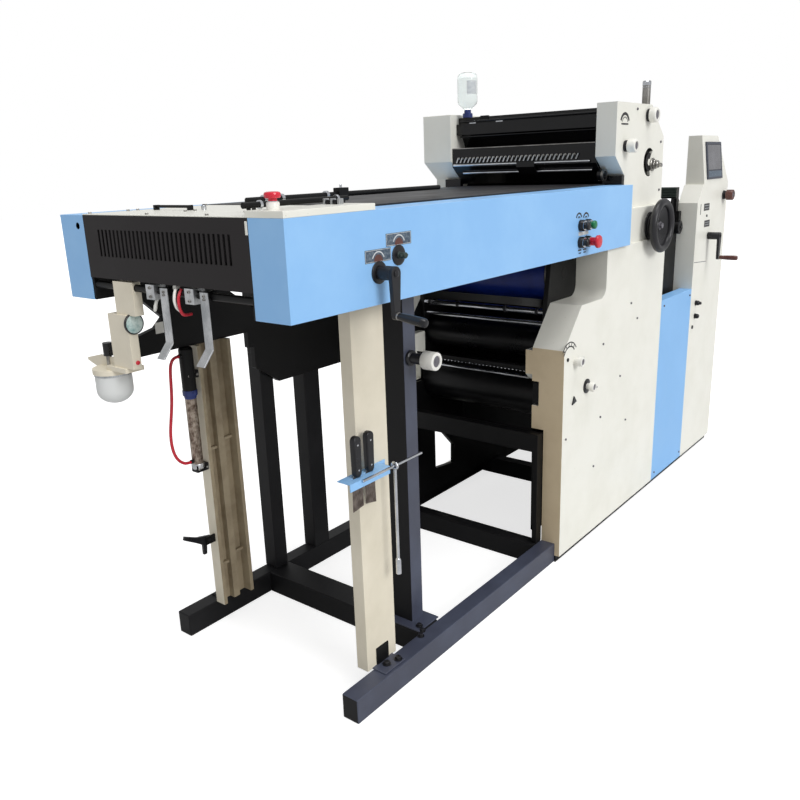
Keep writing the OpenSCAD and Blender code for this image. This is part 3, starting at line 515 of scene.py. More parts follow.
class Finish(Enum):
    """Every finish on the press, by what the real surface is or by the shade painted into it, with the
    record's slot that it fills.
    """

    # Slate enamel on the floor frame's steel tube: a dark blue grey with a soft sheen
    SLATE = Coating("slate_enamel_on_steel_tube", "#3e4252", "#4a5062", 0.42, 2.2, 0.05,
                    coat=0.1), "frame_paint"
    # Painted shade on the floor frame's slate tube: nearly black, with little sheen, for the far rail, far
    # posts, beams and faces that stand in shade
    CHARCOAL = Coating("slate_tube_painted_shade", "#131315", "#1a1a1c", 0.48, 2.2, 0.05,
                       specular=0.25), "frame_paint"
    # Black baked enamel on plates and rods: nearly black, with broad soft highlights; also laid as painted
    # shade inside the covers, frames and strip covers, behind the vented panel and under the near frame
    BLACK = Coating("black_baked_enamel", "#0c0c0d", "#131314", 0.42, 1.8, 0.04, specular=0.22), "black_paint"
    # Satin black enamel of the vented end panel: a warm dark grey
    BLACK_SATIN = Coating("satin_black_enamel", "#262324", "#2b2829", 0.5, 1.6, 0.05,
                          specular=0.2), "black_paint"
    # Glossy black lacquer on the ink guard and fountain: deep black that mirrors lamps as thin lines
    BLACK_GLOSS = Coating("glossy_black_lacquer", "#0c0c0e", "#111113", 0.2, 3.0, 0.04,
                          specular=0.4), "black_paint"
    # Matt black powder coat on the top covers: grainy and grey where light grazes it
    BLACK_POWDER = Coating("black_powder_coat", "#1d1c1f", "#262528", 0.42, 1.2, 0.06,
                           specular=0.35), "black_paint"
    # Green black enamel on the ribbed bridge bar: a dull cast surface
    GREEN_BLACK = Coating("green_black_enamel_on_casting", "#333d39", "#3e4843", 0.5, 3.0, 0.1,
                          specular=0.3), "black_paint"
    # Sky blue two-part enamel on sheet covers: clean saturated blue with a glossy skin
    SKY = Coating("sky_blue_enamel", "#8fc1f2", "#97c7f5", 0.36, 2.5, 0.03, specular=0.3), "blue_paint"
    # Deeper sky blue enamel on the strip covers between unit and feeder
    DEEP_SKY = Coating("deep_sky_blue_enamel", "#84b9ec", "#8cbeef", 0.38, 2.5, 0.03,
                       specular=0.3), "blue_paint"
    # Ivory enamel on the cast side frames: warm white with a slight orange peel and a few spots of grime
    IVORY = Coating("ivory_enamel_on_castings", "#eeede4", "#e8e7dd", 0.36, 2.6, 0.05, coat=0.2,
                    specks="#c4c1b4"), "white_paint"
    # Painted shade on the side frames' ivory front (-X) faces: a darker warm tan
    TAN = Coating("tan_painted_shade_on_ivory", "#dcc9a8", "#d3bf9d", 0.45, 2.4, 0.05), "white_paint"
    # Cream enamel on the chain guards: yellower than the frames and a little dull
    CREAM = Coating("cream_enamel", "#e4dcc9", "#dad2be", 0.42, 2.4, 0.05, coat=0.1), "cream_paint"
    # Painted shade inside the far guard's open channel and on the ties there: a darker brown cream
    PRIMER = Coating("brown_painted_shade_in_channel", "#a3957c", "#8c7e67", 0.6, 2.0, 0.06, bloom_mm=90), "cream_paint"
    # Moulded black thermoset of knobs and cranks: deep black with a waxy shine
    THERMOSET = Coating("black_thermoset", "#17171a", "#1f1f23", 0.3, bloom_mm=60,
                        specular=0.4), "black_plastic"
    # Moulded grey black rim of the handwheel, polished by hands
    WHEEL = Coating("grey_black_thermoset", "#1f1f22", "#29282c", 0.36, bloom_mm=80,
                    specular=0.4), "black_plastic"
    # Moulded brown thermoset of the feeder's grips: dark brown with a waxy shine
    BROWN = Coating("brown_thermoset", "#54302a", "#643c34", 0.32, bloom_mm=60), "brown_plastic"
    # Moulded white acetal of the knobs: clean white with soft gloss
    ACETAL = Coating("white_acetal", "#f0efe9", "#e6e4dd", 0.3, grain_depth_mm=0.01,
                     bloom_mm=60), "white_plastic"
    # Grey end discs of the knobs: a dull moulded grey
    GREY_DISC = Coating("grey_nylon", "#6e6c72", "#59575e", 0.45, bloom_mm=30), "black_plastic"
    # Red polypropylene of mushroom buttons: saturated and glossy
    RED = Coating("red_polypropylene", "#d81f38", "#cb1a30", 0.24, bloom_mm=40, coat=0.3), "red_plastic"
    # Green polypropylene of the start button
    GREEN = Coating("green_polypropylene", "#177a4a", "#126c40", 0.26, bloom_mm=40), "red_plastic"
    # Navy anodised collar of the air cylinder and the bottle's cap: smooth and dark blue
    NAVY = Coating("navy_blue_plastic", "#1f2f6b", "#263a80", 0.3, bloom_mm=30), "black_plastic"
    # Red polyurethane air hose: smooth extruded tube with a soft gloss
    TUBING = Coating("red_polyurethane_tubing", "#d0283a", "#c02233", 0.25, bloom_mm=40), "hose_plastic"
    # Nitrile rubber of the inking rollers: black, its ground face catching long soft highlights
    NITRILE = Coating("black_nitrile_rubber", "#08080a", "#0e0e10", 0.3, 0.8, specular=0.3), "roller_rubber"
    # Navy printing blanket: smooth rubber face with a soft sheen
    BLANKET = Coating("navy_blanket_rubber", "#0a2068", "#0e2a80", 0.34, 0.8, 0.01), "blanket_rubber"
    # Printed foil of marker plates: grey blue with a fine dark mottle
    FOIL = Coating("grey_blue_marker_foil", "#3a4a5c", "#72808c", 0.4, bloom_mm=7), "black_plastic"
    # Pale printed lines and arcs on marker plates
    PALE_INK = Coating("pale_marker_ink", "#d6dadc", "#c2c8cc", 0.5, bloom_mm=12), "white_plastic"
    # Pale teal dial glass of the sprayer's gauge: its broad dark teal clouds are painted reflection
    TEAL = Coating("pale_teal_dial", "#cfdfda", "#5d8f90", 0.15, 3.0, 0.01, bloom_mm=30,
                   coat=0.3), "clear_plastic"
    # Dark glass of the control screen: smooth, grey where it mirrors the room
    GLASS = Coating("dark_screen_glass", "#55555b", "#6a6a70", 0.12, 6.0, 0.01, bloom_mm=90,
                    coat=0.4), "screen"
    # Slate plastic frame round the control screen
    BEZEL = Coating("slate_screen_frame", "#383c48", "#444956", 0.4, bloom_mm=60), "screen"
    # Drawn aluminium of the sheet stops and small ends: pale grey with lengthwise lines
    ALUMINIUM = BareMetal("drawn_aluminium", "#dcdddf", "#a4a8ab", 0.34), "aluminium_bar"
    # Worn nickel plate of the air cylinder: brownish where the plating has gone
    WORN = BareMetal("worn_nickel_plate", "#bdb0a2", "#4e3a2e", 0.4, cloud_mm=16.0), "aluminium_bar"
    # Ground tool steel of the ink knives and wrenches: grey with cross lines and dull patches
    STEEL = BareMetal("ground_tool_steel", "#b5b3b0", "#77746f", 0.3), "steel"
    # Stained spring steel of the ink knives' blades: dark brownish grey with dull clouds
    KNIFE = BareMetal("stained_spring_steel", "#8a7f78", "#4a403b", 0.42, cloud_mm=24.0), "steel"
    # Chrome plate of rods and bars: mirror bright, lines along the bar
    CHROME = BareMetal("chrome_plate", "#e4e6ea", "#b9bdc4", 0.1, stretch=(1.0, 14.0, 1.0)), "chrome"
    # Milky polyethylene of the powder bowl
    MILKY = ClearPlastic("milky_polyethylene", "#f4f6f5", 0.3, 0.25), "clear_plastic"
    # Clear bottle of the dampening water
    BOTTLE = ClearPlastic("clear_pet", "#f1f8f6", 0.08, 0.85), "clear_plastic"

    def __init__(self, recipe: Coating | BareMetal | ClearPlastic, slot: str) -> None:
        """Keeps the recipe, whose material is made when a piece first asks for it, and the slot."""
        self.recipe = recipe
        self.slot = slot

    def material(self) -> bpy.types.Material:
        """The finish's material, made once."""
        return bpy.data.materials.get(self.recipe.name) or self.recipe.material()


# Pieces


@dataclass(frozen=True)
class Patch:
    """Faces of a piece that carry another finish: those whose middles lie in a box, and that face one way."""

    finish: Finish
    low: tuple[float, float, float]
    high: tuple[float, float, float]
    facing: tuple[float, float, float] | None = None

    def apply(self, mesh: bpy.types.Mesh) -> None:
        """Gives the patch's faces its finish.

        Args:
            mesh: the mesh to paint. A face counts as facing a direction where the cosine between it
                and the face's normal is over FACING_COSINE.
        """
        count = len(mesh.polygons)
        middle, normal = np.empty(count * 3), np.empty(count * 3)
        index = np.empty(count, dtype=np.int32)
        mesh.polygons.foreach_get("center", middle)
        mesh.polygons.foreach_get("normal", normal)
        mesh.polygons.foreach_get("material_index", index)
        middle = middle.reshape(-1, 3) / MM
        chosen = np.all((middle >= np.array(self.low)) & (middle <= np.array(self.high)), axis=1)
        if self.facing:
            chosen &= normal.reshape(-1, 3) @ np.array(self.facing) > FACING_COSINE
        material = self.finish.material()
        if material.name not in mesh.materials:
            mesh.materials.append(material)
        index[chosen] = mesh.materials.find(material.name)
        mesh.polygons.foreach_set("material_index", index)


def side_patch(finish: Finish, side: int, low: Point, high: Point, facing: Point) -> Patch:
    """A patch that is given for the far side (side 1), and mirrored in y for the near side (side -1)."""
    near, far = sorted((side * low[1], side * high[1]))
    return Patch(finish, (low[0], near, low[2]), (high[0], far, high[2]), facing)


def body_of(node: str) -> str:
    """The body that a node belongs to."""
    groups = frame["record"]["behaviour"]["bodies"]
    return next(body for body, members in groups.items() if node in members)


def finish_piece(name: str, mesh: bpy.types.Mesh, finish: Finish, node: str, soften: float,
                 patches: Sequence[Patch]) -> bpy.types.Object:
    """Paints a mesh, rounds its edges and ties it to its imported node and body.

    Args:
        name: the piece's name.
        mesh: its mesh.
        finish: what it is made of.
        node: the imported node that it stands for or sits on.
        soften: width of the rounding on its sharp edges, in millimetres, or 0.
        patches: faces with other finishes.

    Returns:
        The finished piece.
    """
    mesh.materials.append(finish.material())
    for patch in patches:
        patch.apply(mesh)
    mesh.shade_smooth()
    piece = bpy.data.objects.new(name, mesh)
    bpy.context.scene.collection.objects.link(piece)
    if soften:
        bevel = piece.modifiers.new("edges", "BEVEL")
        bevel.width = soften * MM
        bevel.segments = 2
        bevel.limit_method = "ANGLE"
        bevel.angle_limit = math.radians(35)
        flat = piece.modifiers.new("flat_faces", "WEIGHTED_NORMAL")
        flat.weight = 100
    else:
        mesh.set_sharp_from_angle(angle=math.radians(35))
    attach(piece, body_of(node))
    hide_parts(node)
    LOG.info("%-28s %6d corners", name, len(mesh.vertices))
    return piece


def build(name: str, node: str, finish: Finish, surfaces: Sequence[Surface], soften: float = 0.0,
          patches: Sequence[Patch] = ()) -> bpy.types.Object:
    """Makes one piece from surfaces in millimetres, in the order of arguments that finish_piece explains."""
    whole = joined(list(surfaces))
    mesh = bpy.data.meshes.new(name)
    mesh.from_pydata((whole.points * MM).tolist(), [], [row for part in whole.faces for row in part.tolist()])
    shape = bmesh.new()
    shape.from_mesh(mesh)
    bmesh.ops.recalc_face_normals(shape, faces=shape.faces[:])
    shape.to_mesh(mesh)
    shape.free()
    return finish_piece(name, mesh, finish, node, soften, patches)


def skin(node: str, finish: Finish, soften: float = 1.5, patches: Sequence[Patch] = ()) -> bpy.types.Object:
    """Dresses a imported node: a copy of its mesh with doubles merged, flat faces joined and edges rounded."""
    mesh = bpy.data.meshes.new(node + "_skin")
    shape = bmesh.new()
    shape.from_mesh(frame["nodes"][node].data)
    bmesh.ops.remove_doubles(shape, verts=shape.verts[:], dist=1e-5)
    bmesh.ops.dissolve_limit(shape, angle_limit=math.radians(0.5), verts=shape.verts[:], edges=shape.edges[:])
    shape.to_mesh(mesh)
    shape.free()
    return finish_piece(node + "_skin", mesh, finish, node, soften, patches)


# Sub-assemblies


@dataclass
class FloorFrame:
    """Two floor rails, the beams between them and the three posts that stand on them."""

    rail_x: tuple[float, float] = (-425, 2550)
    rail_y: tuple[float, float] = (354, 414)
    rail_h: float = 80
    beams: tuple[tuple[float, float], ...] = ((-50, 50), (700, 760), (1440, 1500), (2480, 2540))
    post_top: float = 1202
    far_posts: tuple[tuple[float, float], ...] = ((-15, 45), (197, 279))
    near_post: tuple[float, float, float, float] = (-15, 45, -298, -208)

    def build(self) -> None:
        """Makes the rails with their plugs, the beams, the posts and the screws at the near post's foot."""
        (x0, x1), (y0, y1), tall = self.rail_x, self.rail_y, self.rail_h
        # The far rail is the same slate tube as the near one, coloured nearly black as painted shade
        for name, low, high, finish in (("near_rail", -y1, -y0, Finish.SLATE),
                                        ("far_rail", y0, y1, Finish.CHARCOAL)):
            build(name, "floor_frame", finish, [block((x0, low, 0), (x1, high, tall))], 4)
            # Real end caps on the rails' tube, coloured nearly black as painted shade on the rails' ends
            plug = [block((x, low + 3, 3), (x + 2.5, high - 3, tall - 3)) for x in (x0 - 1, x1 - 1.5)]
            build(name + "_end_plugs", "floor_frame", Finish.CHARCOAL, plug, 1)
        # The beams between the rails are coloured nearly black as painted shade
        build("cross_beams", "floor_frame", Finish.CHARCOAL,
              [block((low, -y0, 0), (high, y0, tall)) for low, high in self.beams], 3)
        x2, x3, y2, y3 = self.near_post
        top = self.post_top
        # The near post's front (-X) face is coloured nearly black as painted shade
        build("near_post", "frame_posts", Finish.SLATE, [block((x2, y2, tall), (x3, y3, top))], 3,
              [Patch(Finish.CHARCOAL, (x2 - 1, y2, tall), (x2 + 1, y3, top), (-1, 0, 0))])
        # The far posts are coloured nearly black as painted shade
        build("far_posts", "frame_posts", Finish.CHARCOAL,
              [block((low, y0, tall), (high, y1, top)) for low, high in self.far_posts], 3)
        build("post_foot", "frame_posts", Finish.SLATE, [block((-48, -350, tall), (62, -190, tall + 5))], 1.5)
        seats = ((-22, -332, tall + 5), (-34, -352, tall), (-60, -366, tall))
        build("foot_screws", "floor_frame", Finish.THERMOSET,
              [hex_screw(15, seat, Axis.UP) for seat in seats])


@dataclass
class ChainGuards:
    """The boxed near guard and the open far guard under the delivery, with their feet."""

    x: tuple[float, float] = (-305, -170)
    web_x: tuple[float, float] = (-250.5, -224.5)
    lip: float = 14
    foot_y: float = 352

    def build(self) -> None:
        """Dresses both guards, and adds the ties inside the far one and the screws on the feet."""
        low, high = self.x[0] - 1, self.x[1] + 1
        skin("near_chain_guard", Finish.CREAM, 2.0, [
            Patch(Finish.BLACK, (low, -410, 86), (high, -self.foot_y - 0.2, 141)),
            Patch(Finish.SLATE, (low, -410, 79), (high, -self.foot_y - 0.2, 86))])
        skin("far_chain_guard", Finish.CREAM, 1.5, [
            # The inside of the open channel is coloured brown as painted shade
            Patch(Finish.PRIMER, (low + 2, 300, 81), (high - 2, 350, 1009)),
            # The far guard's foot is coloured nearly black as painted shade, like the far rail
            Patch(Finish.CHARCOAL, (low, self.foot_y + 0.2, 79), (high, 410, 141)),
            Patch(Finish.BLACK, (-350, 316, 320), (low, 326, 356))])
        ties = [block((self.x[0] + self.lip, 330, z), (self.web_x[0], 345, z + 10)) for z in (216, 644)]
        ties += [block((self.web_x[1], 330, z), (self.x[1] - self.lip, 345, z + 10)) for z in (240, 664)]
        build("guard_ties", "far_chain_guard", Finish.PRIMER, ties, 1)
        seats = [(x, side * y, z) for side in (-1, 1) for x, y, z in ((-245, 376, 85), (-205, 388, 85))]
        build("guard_foot_screws", "near_chain_guard", Finish.THERMOSET,
              [hex_screw(17, seat, Axis.UP) for seat in seats])


@dataclass
class DeliveryCovers:
    """The two long side covers, the vented end panel between them, and the top covers."""

    front: float = -615
    half_panel: float = 339
    slot: tuple[float, float] = (9, 18)
    slots: int = 31
    panel_z: tuple[float, float, float, float] = (1266, 1326, 1398, 1436)

    def end_panel(self) -> list[Surface]:
        """The panel's two bands, its plain ends and one bar between each two slots."""
        z0, z1, z2, z3 = self.panel_z
        half, (wide, pitch) = self.half_panel, self.slot
        inner, back = (self.slots - 1) / 2 * pitch + wide / 2, self.front + 3
        solids = [block((self.front, -half, low), (back, half, high)) for low, high in ((z0, z1), (z2, z3))]
        solids += [block((self.front, low, z1), (back, high, z2)) for low,
                   high in ((-half, -inner), (inner, half))]
        bar = block((self.front, -inner + wide, z1), (back, -inner + pitch, z2))
        steps = np.arange(self.slots - 1)[:, None] * np.array([0.0, pitch, 0.0])
        return solids + [bar.copies(steps)]

    def build(self) -> None:
        """Dresses the covers with insides black as painted shade, and makes the panel, a sheet of painted
        shade behind it and its corner tab.
        """
        # The covers' inner faces are coloured black as painted shade
        inside = [Patch(Finish.BLACK, (self.front + 0.5, side - 57, 1201), (1274, side + 57, 1434.5))
                  for side in (-396.7, 396.7)]
        skin("delivery_covers", Finish.SKY, 1.2, inside)
        skin("track_plates", Finish.BLACK, 1.5)
        skin("delivery_top_cover", Finish.BLACK_POWDER, 1.5)
        build("vented_panel", "delivery_end_panel", Finish.BLACK_SATIN, self.end_panel())
        # A black sheet behind the slots, painted shade that keeps them dark
        build("painted_shade_sheet", "delivery_end_panel", Finish.BLACK,
              [block((self.front + 22, -self.half_panel + 4, 1272),
                     (self.front + 24, self.half_panel - 4, 1432))])
        build("corner_tab", "delivery_end_panel", Finish.IVORY,
              [block((self.front - 2, -338, 1398), (self.front, -331, 1429))], 0.5)


@dataclass
class DeliveryLids:
    """The pale lid plates on the delivery's front, and the fittings along the rods on them."""

    plate_z: float = 1439

    def build(self) -> None:
        """Dresses the lids, and adds collars, a clamp and a row of short posts beside the rods."""
        skin("delivery_lids", Finish.IVORY, 1.2)
        z = self.plate_z
        chrome = [rod((x, -235, 1469), (x + 10, -235, 1469), 22) for x in (-470, -412, -250)]
        chrome += [rod((x, -319, 1462), (x + 8, -319, 1462), 20) for x in (-560, -300)]
        chrome += [rod((-186, -235, 1470), (-186, -235, 1494), 7), rod((-406, 75, z), (-406, 75, z + 12), 14)]
        build("rod_collars", "delivery_bars", Finish.CHROME, chrome)
        build("rod_clamp", "delivery_bars", Finish.BLACK, [block((-204, -247, 1455), (-166, -223, 1486))], 2)
        posts = [block((-372, y, 1451), (-356, y + 7, 1466)) for y in (-350, -374, -398)]
        build("lid_posts", "delivery_lids", Finish.ALUMINIUM, posts, 0.8)
        darker = [block((-371, y, 1451), (-357, y + 9, 1463)) for y in (-362, -386)]
        build("lid_post_spacers", "delivery_lids", Finish.THERMOSET, darker, 0.8)
        screws = [socket_screw(9, (x, y, z), Axis.UP) for x in (-600, -480, -448,
                                                                -202) for y in (-180, 60, 324)]
        build("lid_screws", "delivery_lids", Finish.STEEL, screws)


@dataclass
class PushButton:
    """A push button: a round collar on its seat and a cap or mushroom head."""

    name: str
    seat: tuple[float, float, float]
    axis: Axis
    collar: tuple[float, float]
    head: tuple[float, float]
    finish: Finish
    collar_finish: Finish = Finish.THERMOSET

    def build(self) -> None:
        """Makes the collar with its bright ring, and the domed head on its stem."""
        (wide, tall), (head, reach) = self.collar, self.head
        radius, cap = wide / 2, head / 2
        build(self.name + "_collar", "push_buttons", self.collar_finish, [turned(
            [(radius, 0), (radius, tall - 3), (radius - 2, tall), (radius - 4, tall)], self.seat, self.axis)])
        build(self.name + "_ring", "push_buttons", Finish.CHROME, [turned(
            [(radius - 3, tall - 1), (radius - 3, tall + 1.5), (radius - 4.5, tall + 2)], self.seat,
            self.axis)])
        stem = min(radius - 5, cap * 0.72)
        profile = [(stem, tall), (stem, reach - 15), (cap - 2, reach - 14), (cap, reach - 11),
                   (cap, reach - 5),
                   (cap - 1.5, reach - 2), (cap * 0.7, reach - 0.4), (cap * 0.3, reach)]
        build(self.name + "_head", "push_buttons", self.finish, [turned(profile, self.seat, self.axis)])


@dataclass
class ButtonStation:
    """The buttons on the near cover and on its lid, with the plain arcs and plates beside them."""

    face: float = -456
    buttons: tuple[PushButton, ...] = (
        PushButton("lid_stop", (-586, -396, 1452), Axis.UP, (30, 18), (38, 40), Finish.RED, Finish.ACETAL),
        PushButton("upper_left", (820, -456, 1313), Axis.NEAR, (40, 18), (28, 36), Finish.THERMOSET),
        PushButton("upper_right", (868, -456, 1313), Axis.NEAR, (40, 18), (30, 38), Finish.GREEN),
        PushButton("lower_left", (820, -456, 1254), Axis.NEAR, (40, 18), (28, 36), Finish.THERMOSET),
        PushButton("lower_right", (868, -456, 1254), Axis.NEAR, (40, 18), (46, 56), Finish.RED))

    def build(self) -> None:
        """Makes every button, the dark arcs over and under them, and the pale strip between the rows."""
        for button in self.buttons:
            button.build()
        y = self.face
        arcs = [arc_band(at, 19, 25, 20, 160, y - 0.6, y + 0.2) for at in ((806, 1334), (862, 1332))]
        arcs += [arc_band(at, 8, 12, 30, 150, y - 0.6, y + 0.2) for at in ((806, 1334), (862, 1332))]
        arcs += [block((x, y - 0.6, 1224), (x + 26, y + 0.2, 1229)) for x in (806, 846)]
        arcs += [block((x, y - 0.6, 1214), (x + 18, y + 0.2, 1218)) for x in (812, 850)]
        build("station_arcs", "delivery_covers", Finish.THERMOSET, arcs)
        build("station_plate", "delivery_covers", Finish.PALE_INK,
              [block((806, y - 0.6, 1278), (884, y + 0.2, 1290))])


@dataclass
class Crank:
    """A hand crank: a hub on its shaft, a tapering arm that hangs down, and a turning grip."""

    node: str
    at: tuple[float, float, float]
    hub: float
    throw: float
    grip: float
    droop: float
    arm_finish: Finish
    grip_finish: Finish
    hub_d: float = 36
    arm_t: float = 12

    def build(self) -> None:
        """Makes the hub, arm and shaft end, the steel collar at the grip's root, and the swelling grip."""
        x, y, z = self.at
        arm_y, low = y - 1 - self.hub, z - self.throw
        radius = self.hub_d / 2
        hub = turned([(radius - 1.5, 0), (radius, 1.5), (radius, self.hub - 6), (radius - 2, self.hub + 1)],
                     (x, y - 1, z), Axis.NEAR)
        arm = link([(x, z), (x, low)], (radius, 11), arm_y - self.arm_t, arm_y)
        build(self.node + "_arm", self.node, self.arm_finish, [hub, arm], 2.5)
        nut = turned([(9, 0), (9, 2.5), (6, 4), (4, 4.5)], (x, arm_y - self.arm_t + 0.5, z), Axis.NEAR, 24)
        lean = math.radians(self.droop)
        along = (0.0, -math.cos(lean), -math.sin(lean))
        root = (x, arm_y - self.arm_t + 2, low)
        collar = turned([(9.5, 0), (10, 1), (10, 5), (8.5, 6)], root, along, 24)
        shaft = rod((x, y + 6, z), (x, y - 3, z), 20)
        build(self.node + "_nut", self.node, self.arm_finish, [nut])
        build(self.node + "_steel", self.node, Finish.STEEL, [collar, shaft])
        span = self.grip
        profile = [(7, 5), (9, 6.5), (9.6, 12), (11.2, span * 0.45), (12, span * 0.8), (11.6, span - 5),
                   (9, span - 1), (5, span)]
        build(self.node + "_grip", self.node, self.grip_finish, [turned(profile, root, along)])


@dataclass
class DeliveryControls:
    """What sits on the near cover's face: marker plates, the crank's boss, and a spare boss with its peg."""

    face: float = -456
    bosses: tuple[tuple[float, float, float], ...] = ((-303, 1283, 28.5), (-223, 1318, 26))
    plates: tuple[tuple[float, float, float, float], ...] = ((-354, 1309, -253, 1341),
                                                             (-271, 1343, -168, 1375))

    def build(self) -> None:
        """Makes the bosses, the peg, and the plates with a pale arc over a brown half disc."""
        y = self.face
        for i, (x, z, radius) in enumerate(self.bosses):
            profile = [(radius, 0), (radius, 3), (radius - 1.5, 4), (radius * 0.55, 4)]
            build(f"cover_boss_{i + 1}", "control_bosses", Finish.THERMOSET,
                  [turned(profile, (x, y, z), Axis.NEAR)])
        x, z, _ = self.bosses[1]
        peg = turned([(9.5, 3), (9.5, 6), (8, 7), (8, 24), (6.5, 26)], (x, y, z), Axis.NEAR, 24)
        build("spare_peg", "control_bosses", Finish.GREEN_BLACK,
              [peg, rod((x - 15, y - 18, z), (x + 15, y - 18, z), 6)])
        foil, pale, brown = [], [], []
        for x0, z0, x1, z1 in self.plates:
            foil.append(block((x0, y - 0.6, z0), (x1, y + 0.2, z1)))
            middle, foot = (x0 + x1) / 2, z0 + 2
            brown.append(arc_band((middle, foot), 0, 17, 0, 180, y - 0.9, y + 0.2))
            pale.append(arc_band((middle, foot), 22, 25, 20, 160, y - 1.0, y + 0.2))
            pale += [block((x0 + 2, y - 0.8, z), (x1 - 2, y + 0.2, z + 1)) for z in (z0 + 1.5, z1 - 2.5)]
            pale += [block((x, y - 0.8, z0 + 2), (x + 1, y + 0.2, z1 - 2)) for x in (x0 + 1.5, x1 - 2.5)]
        build("marker_plates", "delivery_covers", Finish.FOIL, foil)
        build("marker_lines", "delivery_covers", Finish.PALE_INK, pale)
        build("marker_half_discs", "delivery_covers", Finish.BROWN, brown)


@dataclass
class PowderSprayer:
    """The powder sprayer on the cross bar: two blocks, a flange with its knob, and the bowl below."""

    bowl: tuple[float, float, float] = (-600, 320, 990)
    bowl_r: float = 52

    def build(self) -> None:
        """Dresses the blocks, and makes the round gauge, the red cap and the hollow bowl."""
        x, y, z = self.bowl
        skin("powder_bracket", Finish.CREAM, 1.5, [
            Patch(Finish.THERMOSET, (x - 15, y - 5, z + 48), (x + 15, y + 25, z + 90)),
            Patch(Finish.STEEL, (x - 9, y + 1, z + 16), (x + 9, y + 19, z + 48))])
        gauge = (-604, 179, 1146)
        build("gauge_case", "powder_bracket", Finish.THERMOSET, [turned(
            [(28, 0), (29.5, 1), (29.5, 7), (28, 8), (26.5, 8), (26.5, 6)], gauge, Axis.NEAR)])
        build("gauge_face", "powder_bracket", Finish.TEAL, [turned(
            [(26.5, 5), (26.5, 6.5), (14, 7.6), (4, 8)], gauge, Axis.NEAR)])
        build("red_plug", "powder_bracket", Finish.TUBING, [turned(
            [(6, -1), (6, 3), (4.5, 4)], (-606, 178, 1036), Axis.NEAR, 24)])
        wall = [(self.bowl_r * math.cos(a),
                 -93 + 41 - 41 * math.sin(a) + 1) for a in np.linspace(0, 1.45, 14)]
        outer = [(self.bowl_r, 0), (self.bowl_r, -20)] + wall
        inner = [(max(r - 2.5, 1.5), min(h + 2.5, -1)) for r, h in outer[::-1]] + [(self.bowl_r - 2.5, 0)]
        build("sprayer_bowl", "powder_bowl", Finish.MILKY, [turned(outer + inner, self.bowl, Axis.UP, 56)])
        heap = [(38, -66), (44, -52), (47, -44), (20, -40), (4, -38)]
        build("powder_heap", "powder_bowl", Finish.ACETAL, [turned(heap, self.bowl, Axis.UP, 40)])
        build("bowl_ring", "powder_bowl", Finish.ALUMINIUM, [turned(
            [(self.bowl_r - 1, 0), (self.bowl_r + 1.5, 0), (self.bowl_r + 1.5, -6), (self.bowl_r - 1, -6)],
            self.bowl, Axis.UP, 56, closed=True)])


@dataclass
class DeliveryBars:
    """The cross bar under the end panel with its clamps and stops, and the rods on the lid."""

    clamps: tuple[tuple[float, float], ...] = ((41, 79), (-122, -84))

    def build(self) -> None:
        """Dresses the bars and stops, and adds clamp screws and the small air fittings between them."""
        pale = [Patch(Finish.ALUMINIUM, (-619, low, 1222.5), (-581, high, 1263)) for low, high in self.clamps]
        skin("delivery_bars", Finish.BLACK, 1.0, pale)
        skin("sheet_stops", Finish.ALUMINIUM, 0.6)
        screws = [socket_screw(8, (-618, sum(clamp) / 2, z),
                               Axis.WEST) for clamp in self.clamps for z in (1231, 1254)]
        screws += [socket_screw(7, (-621, y, z), Axis.WEST) for y in (-2, -164) for z in (1240, 1248)]
        build("clamp_screws", "delivery_bars", Finish.STEEL, screws)
        hook = smooth_path([(-602, 52, 1228), (-610, 52, 1212), (-611, 56, 1198), (-607, 64, 1194),
                            (-602, 68, 1204)], 5)
        elbow = smooth_path([(-600, -38, 1262), (-612, -40, 1252), (-619, -42, 1232), (-617, -44, 1212),
                             (-608, -46, 1200)], 5)
        build("white_fittings", "delivery_bars", Finish.ACETAL, [
            swept(hook, 9, (0, 1, 0.2)), swept(elbow, 8, (0, 1, 0)),
            rod((-606, -30, 1258), (-594, -30, 1258), 16)])
        loop = smooth_path([(-604, -56, 1256), (-616, -57, 1238), (-617, -56, 1216), (-608, -50, 1198),
                            (-596, -46, 1188), (-570, -40, 1186)], 5)
        build("short_red_tube", "delivery_bars", Finish.TUBING, [swept(loop, 8, (0, 1, 0))])
        build("arm_tag", "track_plates", Finish.ACETAL, [block((-434, 329.5, 1070), (-404, 331.2, 1104))],
              0.4)


